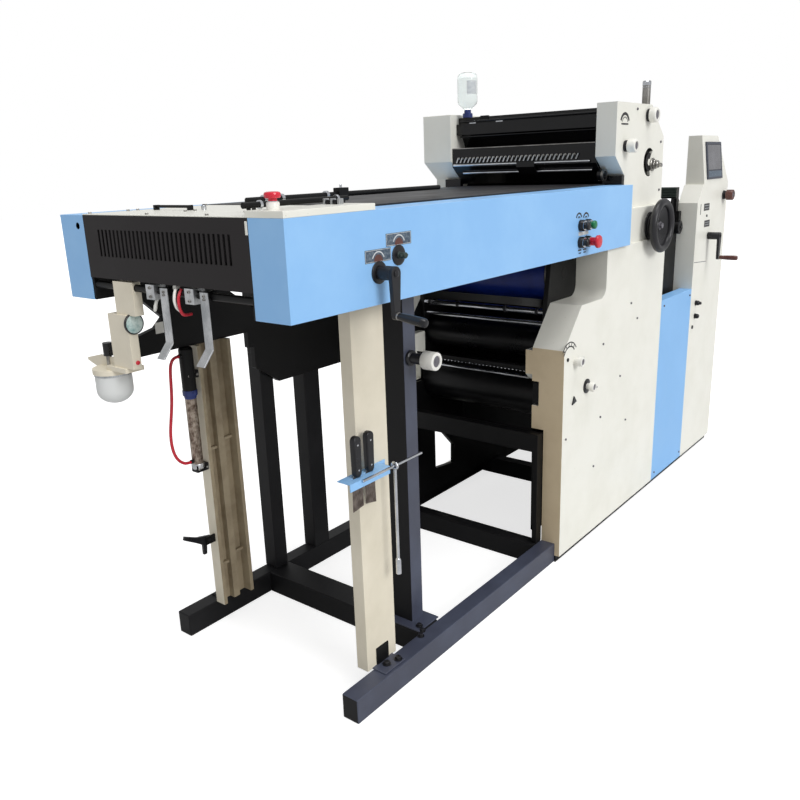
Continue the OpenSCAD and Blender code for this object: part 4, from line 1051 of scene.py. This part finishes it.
@dataclass
class AirCylinder:
    """The air cylinder beside the far guard, with its clamps, fittings, hose and the release lever below."""

    at: tuple[float, float] = (-335, 330)
    diameter: float = 10.0
    route: tuple[tuple[float, float, float], ...] = (
        (-363, 330, 985), (-383, 330, 985), (-396, 330, 965), (-400, 330, 940), (-402, 330, 910),
        (-404, 330, 880), (-407, 330, 850), (-412, 330, 820), (-418, 330, 790), (-424, 330, 760),
        (-427, 330, 730), (-426, 330, 700), (-420, 330, 672), (-408, 330, 650), (-392, 330, 636),
        (-378, 330, 630), (-363, 330, 630))

    def hose(self) -> None:
        line = np.asarray(self.route, float) * MM
        curve = bpy.data.curves.new("air_hose_line", "CURVE")
        curve.dimensions = "3D"
        curve.bevel_depth = self.diameter / 2 * MM
        curve.bevel_resolution = 5
        curve.resolution_u = 6
        spline = curve.splines.new("NURBS")
        spline.points.add(len(line) - 1)
        spline.points.foreach_set("co", np.column_stack([line, np.ones(len(line))]).ravel())
        spline.use_endpoint_u = True
        spline.order_u = 3
        curve.use_fill_caps = True
        curve.materials.append(Finish.TUBING.material())
        tube = bpy.data.objects.new("air_hose_tube", curve)
        bpy.context.scene.collection.objects.link(tube)
        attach(tube, "root")
        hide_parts("air_hose")

    def build(self) -> None:
        """Makes the cylinder's parts from bottom to top, its clamps and fittings, the hose and the lever."""
        x, y = self.at
        base = (x, y, 0)
        for name, finish, profile in (
                ("worn_tube", Finish.WORN, [(18.5, 612), (18.5, 846)]),
                ("cylinder_ends", Finish.ALUMINIUM,
                 [(17, 600), (20, 604), (20, 616), (18.6, 620), (18.6, 612)]),
                ("blue_collar", Finish.NAVY,
                 [(18.6, 842), (20, 846), (20, 852), (24, 853), (24, 869), (22, 871)]),
                ("black_tube", Finish.BLACK, [(22.5, 868), (22.5, 1004), (18, 1010)])):
            build(name, "air_cylinder", finish, [turned(profile, base, Axis.UP)])
        clamps = [block((x - 16, y - 16, z), (-305, y + 16, z + 25)) for z in (590, 907)]
        build("cylinder_clamps", "air_cylinder", Finish.BLACK, clamps, 2)
        build("clamp_bolts", "air_cylinder", Finish.STEEL,
              [socket_screw(8, (x + dx, y - 16, z), Axis.NEAR) for z in (602, 919) for dx in (-10, 22)])
        fittings = [turned([(7, 0), (7, 8), (5.5, 9), (5.5, 20), (7, 21), (7, 28)], (x, y, z), Axis.WEST, 24)
                    for z in (630, 985)]
        build("hose_fittings", "air_cylinder", Finish.THERMOSET, fittings)
        self.hose()
        skin("release_lever", Finish.THERMOSET, 1.5)
        build("lever_pin_nut", "release_lever", Finish.STEEL, [hex_screw(9, (-330, 327, 338), Axis.NEAR)])


@dataclass
class ToolRack:
    """The blue rack on the near guard with two ink knives and a long wrench."""

    knives: tuple[tuple[float, float], ...] = ((-339, 0), (-286, 8))
    wrench_x: float = -205

    def build(self) -> None:
        """Dresses the rack with its bright bar, and makes the knives with riveted handles and the wrench."""
        skin("tool_rack", Finish.SKY, 0.6, [Patch(Finish.CHROME, (-350, -409, 719), (-70, -400.2, 729))])
        blades, handles, rivets = [], [], []
        for x, up in self.knives:
            blades.append(prism([(x - 13, 736), (x - 20, 700), (x - 22, 631 + up), (x + 22, 638 - up),
                                 (x + 20, 700), (x + 13, 736)], Plane.XZ, -380, -378))
            handles.append(link([(x, 742), (x, 832)], (13, 15), -388, -370))
            rivets += [turned([(2.8, 0), (2.8, 0.5), (1.5, 1)], (x, -388, z), Axis.NEAR,
                              16) for z in (750, 822)]
        build("knife_blades", "hanging_tools", Finish.KNIFE, blades, 0.4)
        build("knife_handles", "hanging_tools", Finish.THERMOSET, handles, 4)
        build("handle_rivets", "hanging_tools", Finish.CHROME, rivets)
        x = self.wrench_x
        shank = turned([(3, 383), (8, 384), (8, 428), (7, 432), (4.5, 434), (4.5, 712)], (x, -404, 0),
                       Axis.UP, 32)
        eye = turned([(9.5 + 3.6 * math.cos(a), 4.5 * math.sin(a)) for a in np.linspace(0, 2 * math.pi,
                                                                                        13)[:-1]],
                     (x, -404, 724), Axis.EAST, 32, closed=True)
        build("hanging_wrench", "hanging_tools", Finish.CHROME, [shank, eye])


@dataclass
class Knob:
    """A turning knob on a face: dark collar and neck, a pale head, and a dark disc in its dished end."""

    name: str
    node: str
    at: tuple[float, float, float]
    diameter: float
    reach: float
    head: float
    finish: Finish
    shaft: float = 20

    def build(self) -> None:
        """Makes the collar and neck, the head with its rounded rims, and the end disc."""
        r, reach, start = self.diameter / 2, self.reach, self.reach - self.head
        x, y, z = self.at
        seat = (x, y - 1, z)
        build(self.name + "_collar", self.node, Finish.THERMOSET, [turned(
            [(r * 0.85, 0), (r * 0.85, 7), (r * 0.78, 9), (r * 0.6, 11), (r * 0.6, start + 1)], seat,
            Axis.NEAR)])
        build(self.name + "_head", self.node, self.finish, [turned(
            [(r * 0.58, start), (r - 2, start), (r, start + 3), (r, reach - 4), (r - 1, reach - 1.2),
             (r - 3, reach),
             (r * 0.64, reach), (r * 0.6, reach - 3.4), (r * 0.6, start)], seat, Axis.NEAR, closed=True)])
        build(self.name + "_disc", self.node, Finish.GREY_DISC, [turned(
            [(r * 0.6, start + 2), (r * 0.6, reach - 3), (r * 0.2, reach - 3), (r * 0.16, reach - 1.5)],
            seat, Axis.NEAR)])
        if self.shaft:
            build(self.name + "_shaft", self.node, Finish.STEEL,
                  [rod((x, y - 2, z), (x, y + 6, z), self.shaft)])


@dataclass
class SideFrames:
    """The unit's two ivory side frames, the black plates and portal between them, and small controls."""

    outer: float = 436
    controls: tuple[tuple[float, float], ...] = ((850, 809), (958, 686))
    screws: tuple[tuple[float, float], ...] = (
        (919, 807), (1047, 661), (1047, 321), (1096, 521), (1097, 827), (789, 514), (1359, 438), (1279, 654),
        (1435, 876), (1361, 952))

    def build(self) -> None:
        """Dresses the frames and plates, and adds dials, small knobs, plugs and the far side's screws."""
        y = self.outer
        for node, side in (("near_side_frame", -1), ("far_side_frame", 1)):
            near, far = sorted((side * 300, side * 357))
            # Painted shade: the tan on both frames' front (-X) faces, the black on their inner faces above the
            # portal, and the black over the far frame's front nose. The black below z 546 is the portal's own
            # paint
            skin(node, Finish.IVORY, 3.0, [
                side_patch(Finish.TAN, side, (760, 270, 70), (762, 437, 862), (-1, 0, 0)),
                Patch(Finish.BLACK, (755, near, 70), (1720, far + 0.5, 546)),
                side_patch(Finish.BLACK, side, (718, 300, 540), (1717, 305, 1201), (0, -side, 0))] + (
                    [Patch(Finish.BLACK, (715, 250, 540), (762, 437, 866))]
                                         if side > 0 else []))
        skin("inner_frames", Finish.BLACK, 1.5)
        heads = []
        for i, (x, z) in enumerate(self.controls):
            heads.append(turned([(12, 0), (12, 16), (19, 17), (19, 33), (17.5, 35), (13, 35), (12, 31)],
                                (x, -y, z), Axis.NEAR))
        build("small_knobs", "near_side_frame", Finish.ACETAL, heads)
        discs = [turned([(12.5, 28), (12.5, 32), (3, 32.5)], (x, -y, z), Axis.NEAR) for x, z in self.controls]
        build("small_knob_ends", "near_side_frame", Finish.GREY_DISC, discs)
        x, z = self.controls[1]
        dark = [turned([(29, 0), (29, 2.5), (27, 3.5)], (x, -y, z), Axis.NEAR),
                turned([(7, 0), (7, 3), (4, 4.5)], (789, -y, 826), Axis.NEAR, 24),
                prism([(832, 640), (866, 648), (846, 672)], Plane.XZ, -y - 5, -y + 0.2)]
        build("dark_washers", "near_side_frame", Finish.THERMOSET, dark)
        # A black strip set under the near frame, standing in for the painted shadow gap between frame and
        # floor
        shadow_strip_blocks = [block((762, -y + 16, 0.5), (2562, -y + 21, 30))]
        build("painted_shadow_strip", "near_side_frame", Finish.BLACK, shadow_strip_blocks)
        dial = [arc_band((803, 826), 46, 51, 38, 156, -y - 0.6, -y + 0.2),
                arc_band((803, 826), 62, 66, 34, 148, -y - 0.6, -y + 0.2)]
        dial += [arc_band((803, 826), 51, 62, a, a + 4, -y - 0.6, -y + 0.2) for a in (50, 72, 94, 116, 138)]
        build("frame_dial", "near_side_frame", Finish.THERMOSET, dial)
        plugs = [socket_screw(9, (x, -y, z), Axis.NEAR) for x, z in self.screws]
        build("plug_screws", "near_side_frame", Finish.GREY_DISC, plugs)
        far_side = [socket_screw(12, (x, y, z), Axis.AWAY) for x, z in ((800, 600), (800, 130), (1240, 420),
                                                                        (1180, 1150), (1240, 800))]
        cover = [(x, z) for x in (1297, 1692) for z in (330, 820, 1310)]
        far_side += [socket_screw(14, (x, 529, z), Axis.AWAY) for x, z in cover]
        build("far_side_screws", "far_side_frame", Finish.STEEL, far_side)
        skin("near_gear_cover", Finish.IVORY, 3.0)
        skin("far_drive_cover", Finish.IVORY, 3.0)


@dataclass
class InkHead:
    """The upper inking head: two walls, the guard, the fountain with its keys, rollers and the bottle."""

    face: float = -398
    slot: tuple[float, float] = (1572, 1518)
    keys: int = 30
    key_first: float = -233
    key_pitch: float = 20
    front: float = 1236

    def walls(self) -> None:
        """Dresses both walls, closes the round groove to a C, and adds the spindle and the plain mark."""
        x, z = self.slot
        y = self.face
        skin("near_head_wall", Finish.IVORY, 2.5, [
            Patch(Finish.BLACK, (x - 58, y + 0.5, z - 58), (x + 58, y + 15, z + 58)),
            Patch(Finish.STEEL, (x + 33, y - 43, z - 22), (x + 50, y - 0.5, z - 6)),
            Patch(Finish.STEEL, (1534, -398, 1748), (1569, -362, 1840))])
        skin("far_head_wall", Finish.IVORY, 2.5)
        build("groove_filler", "near_head_wall", Finish.IVORY, [
            arc_band(self.slot, 36.5, 58, -72, -26, y, y + 13),
            arc_band(self.slot, 36.5, 58, -10, 52, y, y + 13)])
        at = (x + 34, y, z - 10)
        build("groove_floor", "near_head_wall", Finish.BLACK, [
            arc_band(self.slot, 14, 37.5, 60, 300, y - 0.5, y + 0.5)])
        build("head_spindle", "near_head_wall", Finish.STEEL, [
            turned([(27, -1), (27, 5), (25, 7), (14, 7)], at, Axis.NEAR, 40),
            turned([(22, 6), (22, 15), (20, 17)], at, Axis.NEAR, 6),
            turned([(15, 16), (16, 18), (16, 27), (14, 29), (7, 29), (7, 40), (4, 42)], at, Axis.NEAR, 32)])
        mark = [arc_band((1303, 1663), 36, 47, 22, 158, y - 0.7, y + 0.2),
                arc_band((1303, 1663), 27, 30, 22, 158, y - 0.7, y + 0.2),
                block((1270, y - 0.7, 1663), (1336, y + 0.2, 1669))]
        build("head_mark", "near_head_wall", Finish.THERMOSET, mark)
        screws = [socket_screw(10, (sx, sy, sz), axis) for sy, axis in ((y, Axis.NEAR), (529, Axis.AWAY))
                  for sx, sz in ((1345, 1400), (1700, 1400), (1420, 1725), (1690, 1600))]
        build("head_wall_screws", "near_head_wall", Finish.GREY_DISC, screws)
        cap = turned([(17.5, 66), (17.5, 68), (16.4, 69), (16.4, 74), (17.5, 75), (17.5, 88), (14, 92.5),
                      (6, 93)],
                     (1551, -380, 1747), Axis.UP, 40)
        build("filler_cap", "near_head_wall", Finish.CHROME, [cap])

    def fountain(self) -> None:
        """Dresses the fountain, and adds its keys, bars and lip."""
        skin("ink_tray", Finish.BLACK_GLOSS, 0.6)
        x = self.front
        key = prism([(2, -11), (8, -11), (-2, 11), (-8, 11)], Plane.YZ, x - 5.8, x - 4.9)
        steps = [(0, self.key_first + i * self.key_pitch, 1552) for i in range(self.keys)]
        build("ink_keys", "ink_tray", Finish.ALUMINIUM, [key.copies(steps)])
        heads = [turned([(4.5, 0), (4.5, 3), (3, 4)], (x - 5, step[1] + 10, 1560), Axis.WEST,
                        16) for step in steps[:-1]]
        build("ink_key_screws", "ink_tray", Finish.STEEL, heads)
        bars = [rod((x - 2, -288, 1531), (x - 2, 370, 1531), 10.6),
                rod((x + 23, -288, 1497), (x + 23, 334, 1497), 10.6)]
        build("fountain_bars", "ink_tray", Finish.CHROME, bars)
        build("fountain_lip", "ink_tray", Finish.STEEL,
              [block((x - 0.6, -308, 1600), (x + 1.4, 372, 1603.6))], 0.3)
        ring = turned([(24, 0), (24, 8), (17, 8), (17, 0)], (x + 32, -331, 1475), Axis.NEAR, 40, closed=True)
        build("tray_ring", "ink_tray", Finish.STEEL, [ring])

    def build(self) -> None:
        """Makes the head from the walls inwards."""
        self.walls()
        skin("ink_guard", Finish.BLACK_GLOSS, 0.8)
        rails = [rod((1277, -300, z), (1277, 360, z), d) for z, d in ((1716, 9), (1652, 7))]
        build("guard_rails", "ink_guard", Finish.BLACK_GLOSS, rails)
        catches = [block((1286, 285, 1703), (1291, 318, 1716)), block((1286, 148, 1704), (1291, 182, 1714)),
                   block((1288, 288, 1676), (1292, 300, 1690))]
        build("guard_catches", "ink_guard", Finish.CHROME, catches, 0.6)
        hinges = [block((1284, 222, 1716), (1300, 262, 1737))]
        build("guard_hinges", "ink_guard", Finish.BLACK, hinges, 2)
        self.fountain()
        skin("head_rollers", Finish.NITRILE, 1.0)
        base = (1290, 330, 1733)
        body = [(14, 30), (15, 34), (30, 46), (40, 56), (43.5, 66), (43.8, 82), (42.8, 92), (43.8, 102),
                (43.8, 160), (42, 172), (36, 181), (22, 185.5), (12, 183)]
        build("bottle_body", "water_bottle", Finish.BOTTLE, [turned(body, base, Axis.UP, 64)])
        cap = [(22, 0), (22, 16), (20, 18), (15, 19), (15, 32), (13, 33)]
        build("bottle_cap", "water_bottle", Finish.NAVY, [turned(cap, base, Axis.UP, 48)])
        band = [(44.2, 96), (44.2, 150)]
        angle = np.linspace(math.radians(-150), math.radians(-85), 18)
        ring = np.column_stack([np.cos(angle), np.sin(angle)])
        outline = np.vstack([44.3 * ring, 43.9 * ring[::-1]]) + np.array(base[:2])
        build("bottle_label", "water_bottle", Finish.PALE_INK,
              [prism(outline, Plane.XY, base[2] + band[0][1], base[2] + band[1][1])])


@dataclass
class Handwheel:
    """The dished handwheel on the gear cover, on a fixed black flange."""

    at: tuple[float, float, float] = (1548, -425, 1258)
    rim: tuple[float, float, float] = (96.5, 55, 16)

    def build(self) -> None:
        """Makes the flange, the dished web with its hub, the round rim and the nut."""
        x, y, z = self.at
        radius, height, thick = self.rim
        build("wheel_flange", "near_gear_cover", Finish.THERMOSET, [turned(
            [(58, 0), (58, 7), (56, 9), (30, 9)], self.at, Axis.NEAR, 64)])
        web = [(12, 10), (51, 10), (52, 11), (52, 16), (50, 17.5), (34, 19), (27, 21), (50, 30), (74, 40),
               (92, 48),
               (92, 57), (74, 50), (50, 40), (28, 31), (23, 33), (22, 36), (22, 42), (19, 45), (10, 45)]
        build("wheel_web", "handwheel", Finish.THERMOSET, [turned(web, self.at, Axis.NEAR, 72)])
        turns = np.linspace(0, 2 * math.pi, 25)[:-1]
        ring = [(radius + thick * math.cos(a), height + thick * math.sin(a)) for a in turns]
        build("wheel_rim", "handwheel", Finish.WHEEL, [turned(ring, self.at, Axis.NEAR, 96, closed=True)])
        build("wheel_nut", "handwheel", Finish.GREY_DISC, [
            hex_screw(22, (x, y - 44, z), Axis.NEAR), rod((x, y - 3, z), (x, y + 6, z), 24)])


@dataclass
class LowerUnit:
    """The blanket cylinder under the delivery, the lower rollers and the bright bars before them."""

    def build(self) -> None:
        """Dresses the cylinder with steel bearers, the rollers and the bars, and adds grips on the bars."""
        skin("lower_cylinder", Finish.BLANKET, 1.0, [
            Patch(Finish.STEEL, (880, 271, 980), (1140, 283.8, 1250)),
            Patch(Finish.STEEL, (880, -283.8, 980), (1140, -271, 1250)),
            Patch(Finish.BLACK, (880, 284, 980), (1140, 340, 1250)),
            Patch(Finish.BLACK, (880, -340, 980), (1140, -284, 1250))])
        skin("lower_rollers", Finish.NITRILE, 1.5)
        skin("lower_bars", Finish.CHROME, 0.5, [Patch(Finish.BLACK, (796, -300, 750), (806, 300, 780))])
        collars = [rod((884, y, 978), (884, y + 12, 978), 30) for y in (-262, -120, 108, 250)]
        build("bar_collars", "lower_bars", Finish.THERMOSET, collars)


@dataclass
class Feeder:
    """The feeder's columns, the feed board with its bridge bar, the lifting table and the control head."""

    face: float = -436
    screen_at: tuple[float, float, float] = (2231, -436, 1403)
    screen: tuple[float, float] = (220, 155.7)
    lean: float = 6.78
    rise: float = 22

    def controls(self) -> None:
        """Makes the screen's frame and glass, the small marks, the black knobs and the lock."""
        x, y, z = self.screen_at
        wide, tall = self.screen
        z += self.rise
        skin("control_screen", Finish.BEZEL, 1.5)
        glass = [block((x + 14, y - 7.2, z + 44), (x + wide - 14, y - 4.8, z + 162))]
        glass = [part.turned_about(self.screen_at, Axis.EAST, -self.lean) for part in glass]
        build("screen_glass", "control_screen", Finish.GLASS, glass, 0.5)
        strip = block((x + 12, y - 8.3, z + 10), (x + wide - 12, y - 4.8, z + 38))
        build("screen_strip", "control_screen", Finish.FOIL,
              [strip.turned_about(self.screen_at, Axis.EAST, -self.lean)], 0.5)
        y = self.face
        marks = [block((2162, y - 0.7, 1262), (2168, y + 0.2, 1312)),
                 block((2212, y - 0.7, 1277), (2292, y + 0.2, 1311)),
                 block((2232, y - 0.7, 1197), (2312, y + 0.2, 1229)),
                 arc_band((2262, 1246), 0, 12, 0, 180, y - 0.8, y + 0.2)]
        build("feeder_marks", "near_feeder_column", Finish.THERMOSET, marks)
        lines = [block((2220, y - 1, z1), (2284, y + 0.2, z1 + 1.6)) for z1 in (1287, 1300)]
        lines += [block((2240, y - 1, z1), (2304, y + 0.2, z1 + 1.6)) for z1 in (1207, 1218)]
        build("feeder_mark_lines", "near_feeder_column", Finish.PALE_INK, lines)
        bulbs = [turned([(13, 0), (13, 6), (9, 8), (12.5, 10), (11, 18), (6, 22)], (2188, y, z1), Axis.NEAR)
                 for z1 in (828, 761)]
        bulbs.append(turned([(8, 20), (8, 28), (5, 30)], (2188, y, 828), Axis.NEAR, 6))
        bulbs.append(turned([(9, 0), (9, 4), (6, 5)], (2160, y, 709), Axis.NEAR, 24))
        build("feeder_bulbs", "control_bosses", Finish.THERMOSET, bulbs)
        seam = prism([(2122, 1034), (2300, 1022), (2300, 1025), (2122, 1037)], Plane.XZ, y - 0.4, y + 0.2)
        build("column_seam", "near_feeder_column", Finish.GREY_DISC, [seam])

    def build(self) -> None:
        """Dresses the columns, board and table, and adds the controls, screws and strip covers."""
        for node in ("near_feeder_column", "far_feeder_column"):
            skin(node, Finish.IVORY, 3.0)
        self.controls()
        skin("feed_board", Finish.BLACK, 1.0, [
            Patch(Finish.GREEN_BLACK, (2070, -345, 1346), (2118, 345, 1400)),
            Patch(Finish.STEEL, (1716, -330, 1131), (2196, 330, 1133))])
        skin("feeder_table", Finish.STEEL, 1.5)
        # The strip covers' inward faces are coloured black as painted shade, seen through the gap beside the
        # column
        skin("strip_covers", Finish.DEEP_SKY, 2.0, [
            side_patch(Finish.BLACK, side, (1715, 370, 20), (2117, 380, 910), (0, -side, 0))
            for side in (-1, 1)])
        stop = turned([(31, 18), (31, 21), (27, 23), (20, 23), (18, 19), (8, 19), (8, 25), (4, 26)],
                      (2075, -353, 1208), Axis.NEAR, 40)
        build("board_stop", "feed_board", Finish.THERMOSET, [stop])
        screws = [socket_screw(9, (x, self.face, z), Axis.NEAR) for x,
                  z in ((1750, 880), (2092, 880), (1750, 60),
                                                                            (2092, 60))]
        screws += [socket_screw(12, (x, -self.face, z), Axis.AWAY) for x,
                   z in ((2160, 1250), (2520, 1250), (2160, 120),
                                                                              (2520, 120), (1750, 880),
                                                                              (2092, 880))]
        build("feeder_screws", "strip_covers", Finish.GREY_DISC, screws)


@dataclass
class Studio:
    """The floor, the lights and the camera, none of which belong to the press."""

    position: tuple[float, float, float] = (-1.821, -1.730, 1.535)
    yaw: float = 38.80
    pitch: float = 16.47
    roll: float = -1.983
    focal_px: float = 789.26
    picture_px: float = 800.0
    sensor: float = 36.0
    floor_half: float = 30.0
    suns: tuple[tuple[str, tuple[float, float, float], float, float], ...] = (
        ("operator_side_sun", (-0.14, -1.0, 0.5), 1.58, 28.0),
        ("overhead_sun", (-0.12, -0.15, 1.0), 1.6, 40.0))

    def camera(self) -> None:
        """Sets the camera where the photograph was taken.

        The view direction is the cosine of the pitch along the heading, less its sine upwards. Right and up
        are square to it, and both are turned by the roll.
        """
        yaw, pitch, roll = (math.radians(v) for v in (self.yaw, self.pitch, self.roll))
        forward = Vector((math.cos(yaw) * math.cos(pitch), math.sin(yaw) * math.cos(pitch), -math.sin(pitch)))
        level = Vector((math.sin(yaw), -math.cos(yaw), 0.0))
        upright = level.cross(forward)
        right = math.cos(roll) * level + math.sin(roll) * upright
        up = math.cos(roll) * upright - math.sin(roll) * level
        data = bpy.data.cameras.new("photo_camera")
        data.sensor_width = self.sensor
        data.lens = self.focal_px / self.picture_px * self.sensor
        data.clip_end = 200.0
        camera = bpy.data.objects.new("photo_camera", data)
        turn = Matrix((right, up, -forward)).transposed()
        camera.matrix_world = Matrix.Translation(Vector(self.position)) @ turn.to_4x4()
        bpy.context.scene.collection.objects.link(camera)
        bpy.context.scene.camera = camera

    def floor(self) -> None:
        """Lays a white floor that only the shadow of the press darkens."""
        half = self.floor_half
        mesh = bpy.data.meshes.new("studio_floor")
        mesh.from_pydata([(-half, -half, 0), (half, -half, 0), (half, half, 0), (-half, half, 0)], [],
                         [(0, 1, 2, 3)])
        material, tree = blank_material("white_studio_floor")
        rays = add_node(tree, "ShaderNodeLightPath")
        seen = add_node(tree, "ShaderNodeMath", {0: rays.outputs["Is Camera Ray"],
                                                 1: rays.outputs["Is Transmission Ray"]}, operation="MAXIMUM")
        matt = add_node(tree, "ShaderNodeBsdfDiffuse", {"Color": linear("#c9c9c9")})
        glow = add_node(tree, "ShaderNodeEmission", {"Color": linear("#ffffff"), "Strength": 0.72})
        both = add_node(tree, "ShaderNodeAddShader", {0: matt.outputs[0], 1: glow.outputs[0]})
        mix = add_node(tree, "ShaderNodeMixShader", {0: seen.outputs["Value"], 1: matt.outputs[0],
                                                     2: both.outputs[0]})
        add_node(tree, "ShaderNodeOutputMaterial", {"Surface": mix.outputs[0]})
        mesh.materials.append(material)
        floor = bpy.data.objects.new("studio_floor", mesh)
        bpy.context.scene.collection.objects.link(floor)

    def sun(self, name: str, towards: Point, strength: float, degrees: float) -> None:
        """Adds a soft sun that shines from a direction and looks as wide as an angle."""
        data = bpy.data.lights.new(name, "SUN")
        data.energy = strength
        data.angle = math.radians(degrees)
        lamp = bpy.data.objects.new(name, data)
        lamp.location = towards
        lamp.rotation_euler = (-Vector(towards)).to_track_quat("-Z", "Y").to_euler()
        bpy.context.scene.collection.objects.link(lamp)

    def surroundings(self) -> None:
        """Gives even pale light from all round, which the camera sees as white and mirrors as pale grey."""
        world = bpy.data.worlds.new("studio_world")
        world.use_nodes = True
        tree = world.node_tree
        tree.nodes.clear()
        rays = add_node(tree, "ShaderNodeLightPath")
        strength = add_node(tree, "ShaderNodeMapRange", {
            "Value": rays.outputs["Is Glossy Ray"], "To Min": 0.4, "To Max": 0.55}).outputs["Result"]
        for ray in ("Is Camera Ray", "Is Transmission Ray"):
            strength = add_node(tree, "ShaderNodeMath", {0: strength, 1: rays.outputs[ray]},
                                operation="MAXIMUM").outputs["Value"]
        sky = add_node(tree, "ShaderNodeBackground", {"Color": linear("#ffffff"),
                                                      "Strength": strength})
        add_node(tree, "ShaderNodeOutputWorld", {"Surface": sky.outputs["Background"]})
        bpy.context.scene.world = world

    def build(self) -> None:
        """Sets up the whole studio."""
        bpy.context.scene.view_settings.view_transform = "Standard"
        self.camera()
        self.floor()
        self.surroundings()
        for sun in self.suns:
            self.sun(*sun)


@dataclass
class Press:
    """The whole press, as its sub-assemblies in the order in which they are built."""

    parts: list = field(default_factory=lambda: [
        FloorFrame(), ChainGuards(), DeliveryCovers(), DeliveryLids(), ButtonStation(), DeliveryControls(),
        Crank("delivery_crank", (-303, -460, 1283), 39, 105, 92, 7, Finish.THERMOSET, Finish.THERMOSET),
        PowderSprayer(), DeliveryBars(), AirCylinder(), ToolRack(), SideFrames(), InkHead(), Handwheel(),
        Knob("upper_knob", "upper_knob", (1536, -398, 1704), 60, 40, 28, Finish.ACETAL),
        Knob("lower_knob", "lower_knob", (1315, -398, 1583), 52, 48, 34, Finish.ACETAL),
        Knob("post_knob", "post_knob", (15, -298, 979), 56, 100, 46, Finish.ACETAL),
        Knob("feeder_knob", "feeder_knob", (2500, -436, 1340), 52, 50, 34, Finish.BROWN),
        Crank("feeder_crank", (2300, -436, 1151), 50, 105, 92, 0, Finish.THERMOSET, Finish.BROWN),
        LowerUnit(), Feeder()])

    def build(self) -> None:
        """Builds every sub-assembly in order."""
        for part in self.parts:
            LOG.info("building %s", getattr(part, "name", type(part).__name__))
            part.build()


def main() -> None:
    """Builds the press and its studio in order."""
    logging.basicConfig(level=logging.INFO, format="%(message)s")
    Studio().build()
    Press().build()


if __name__ == "__main__":
    main()
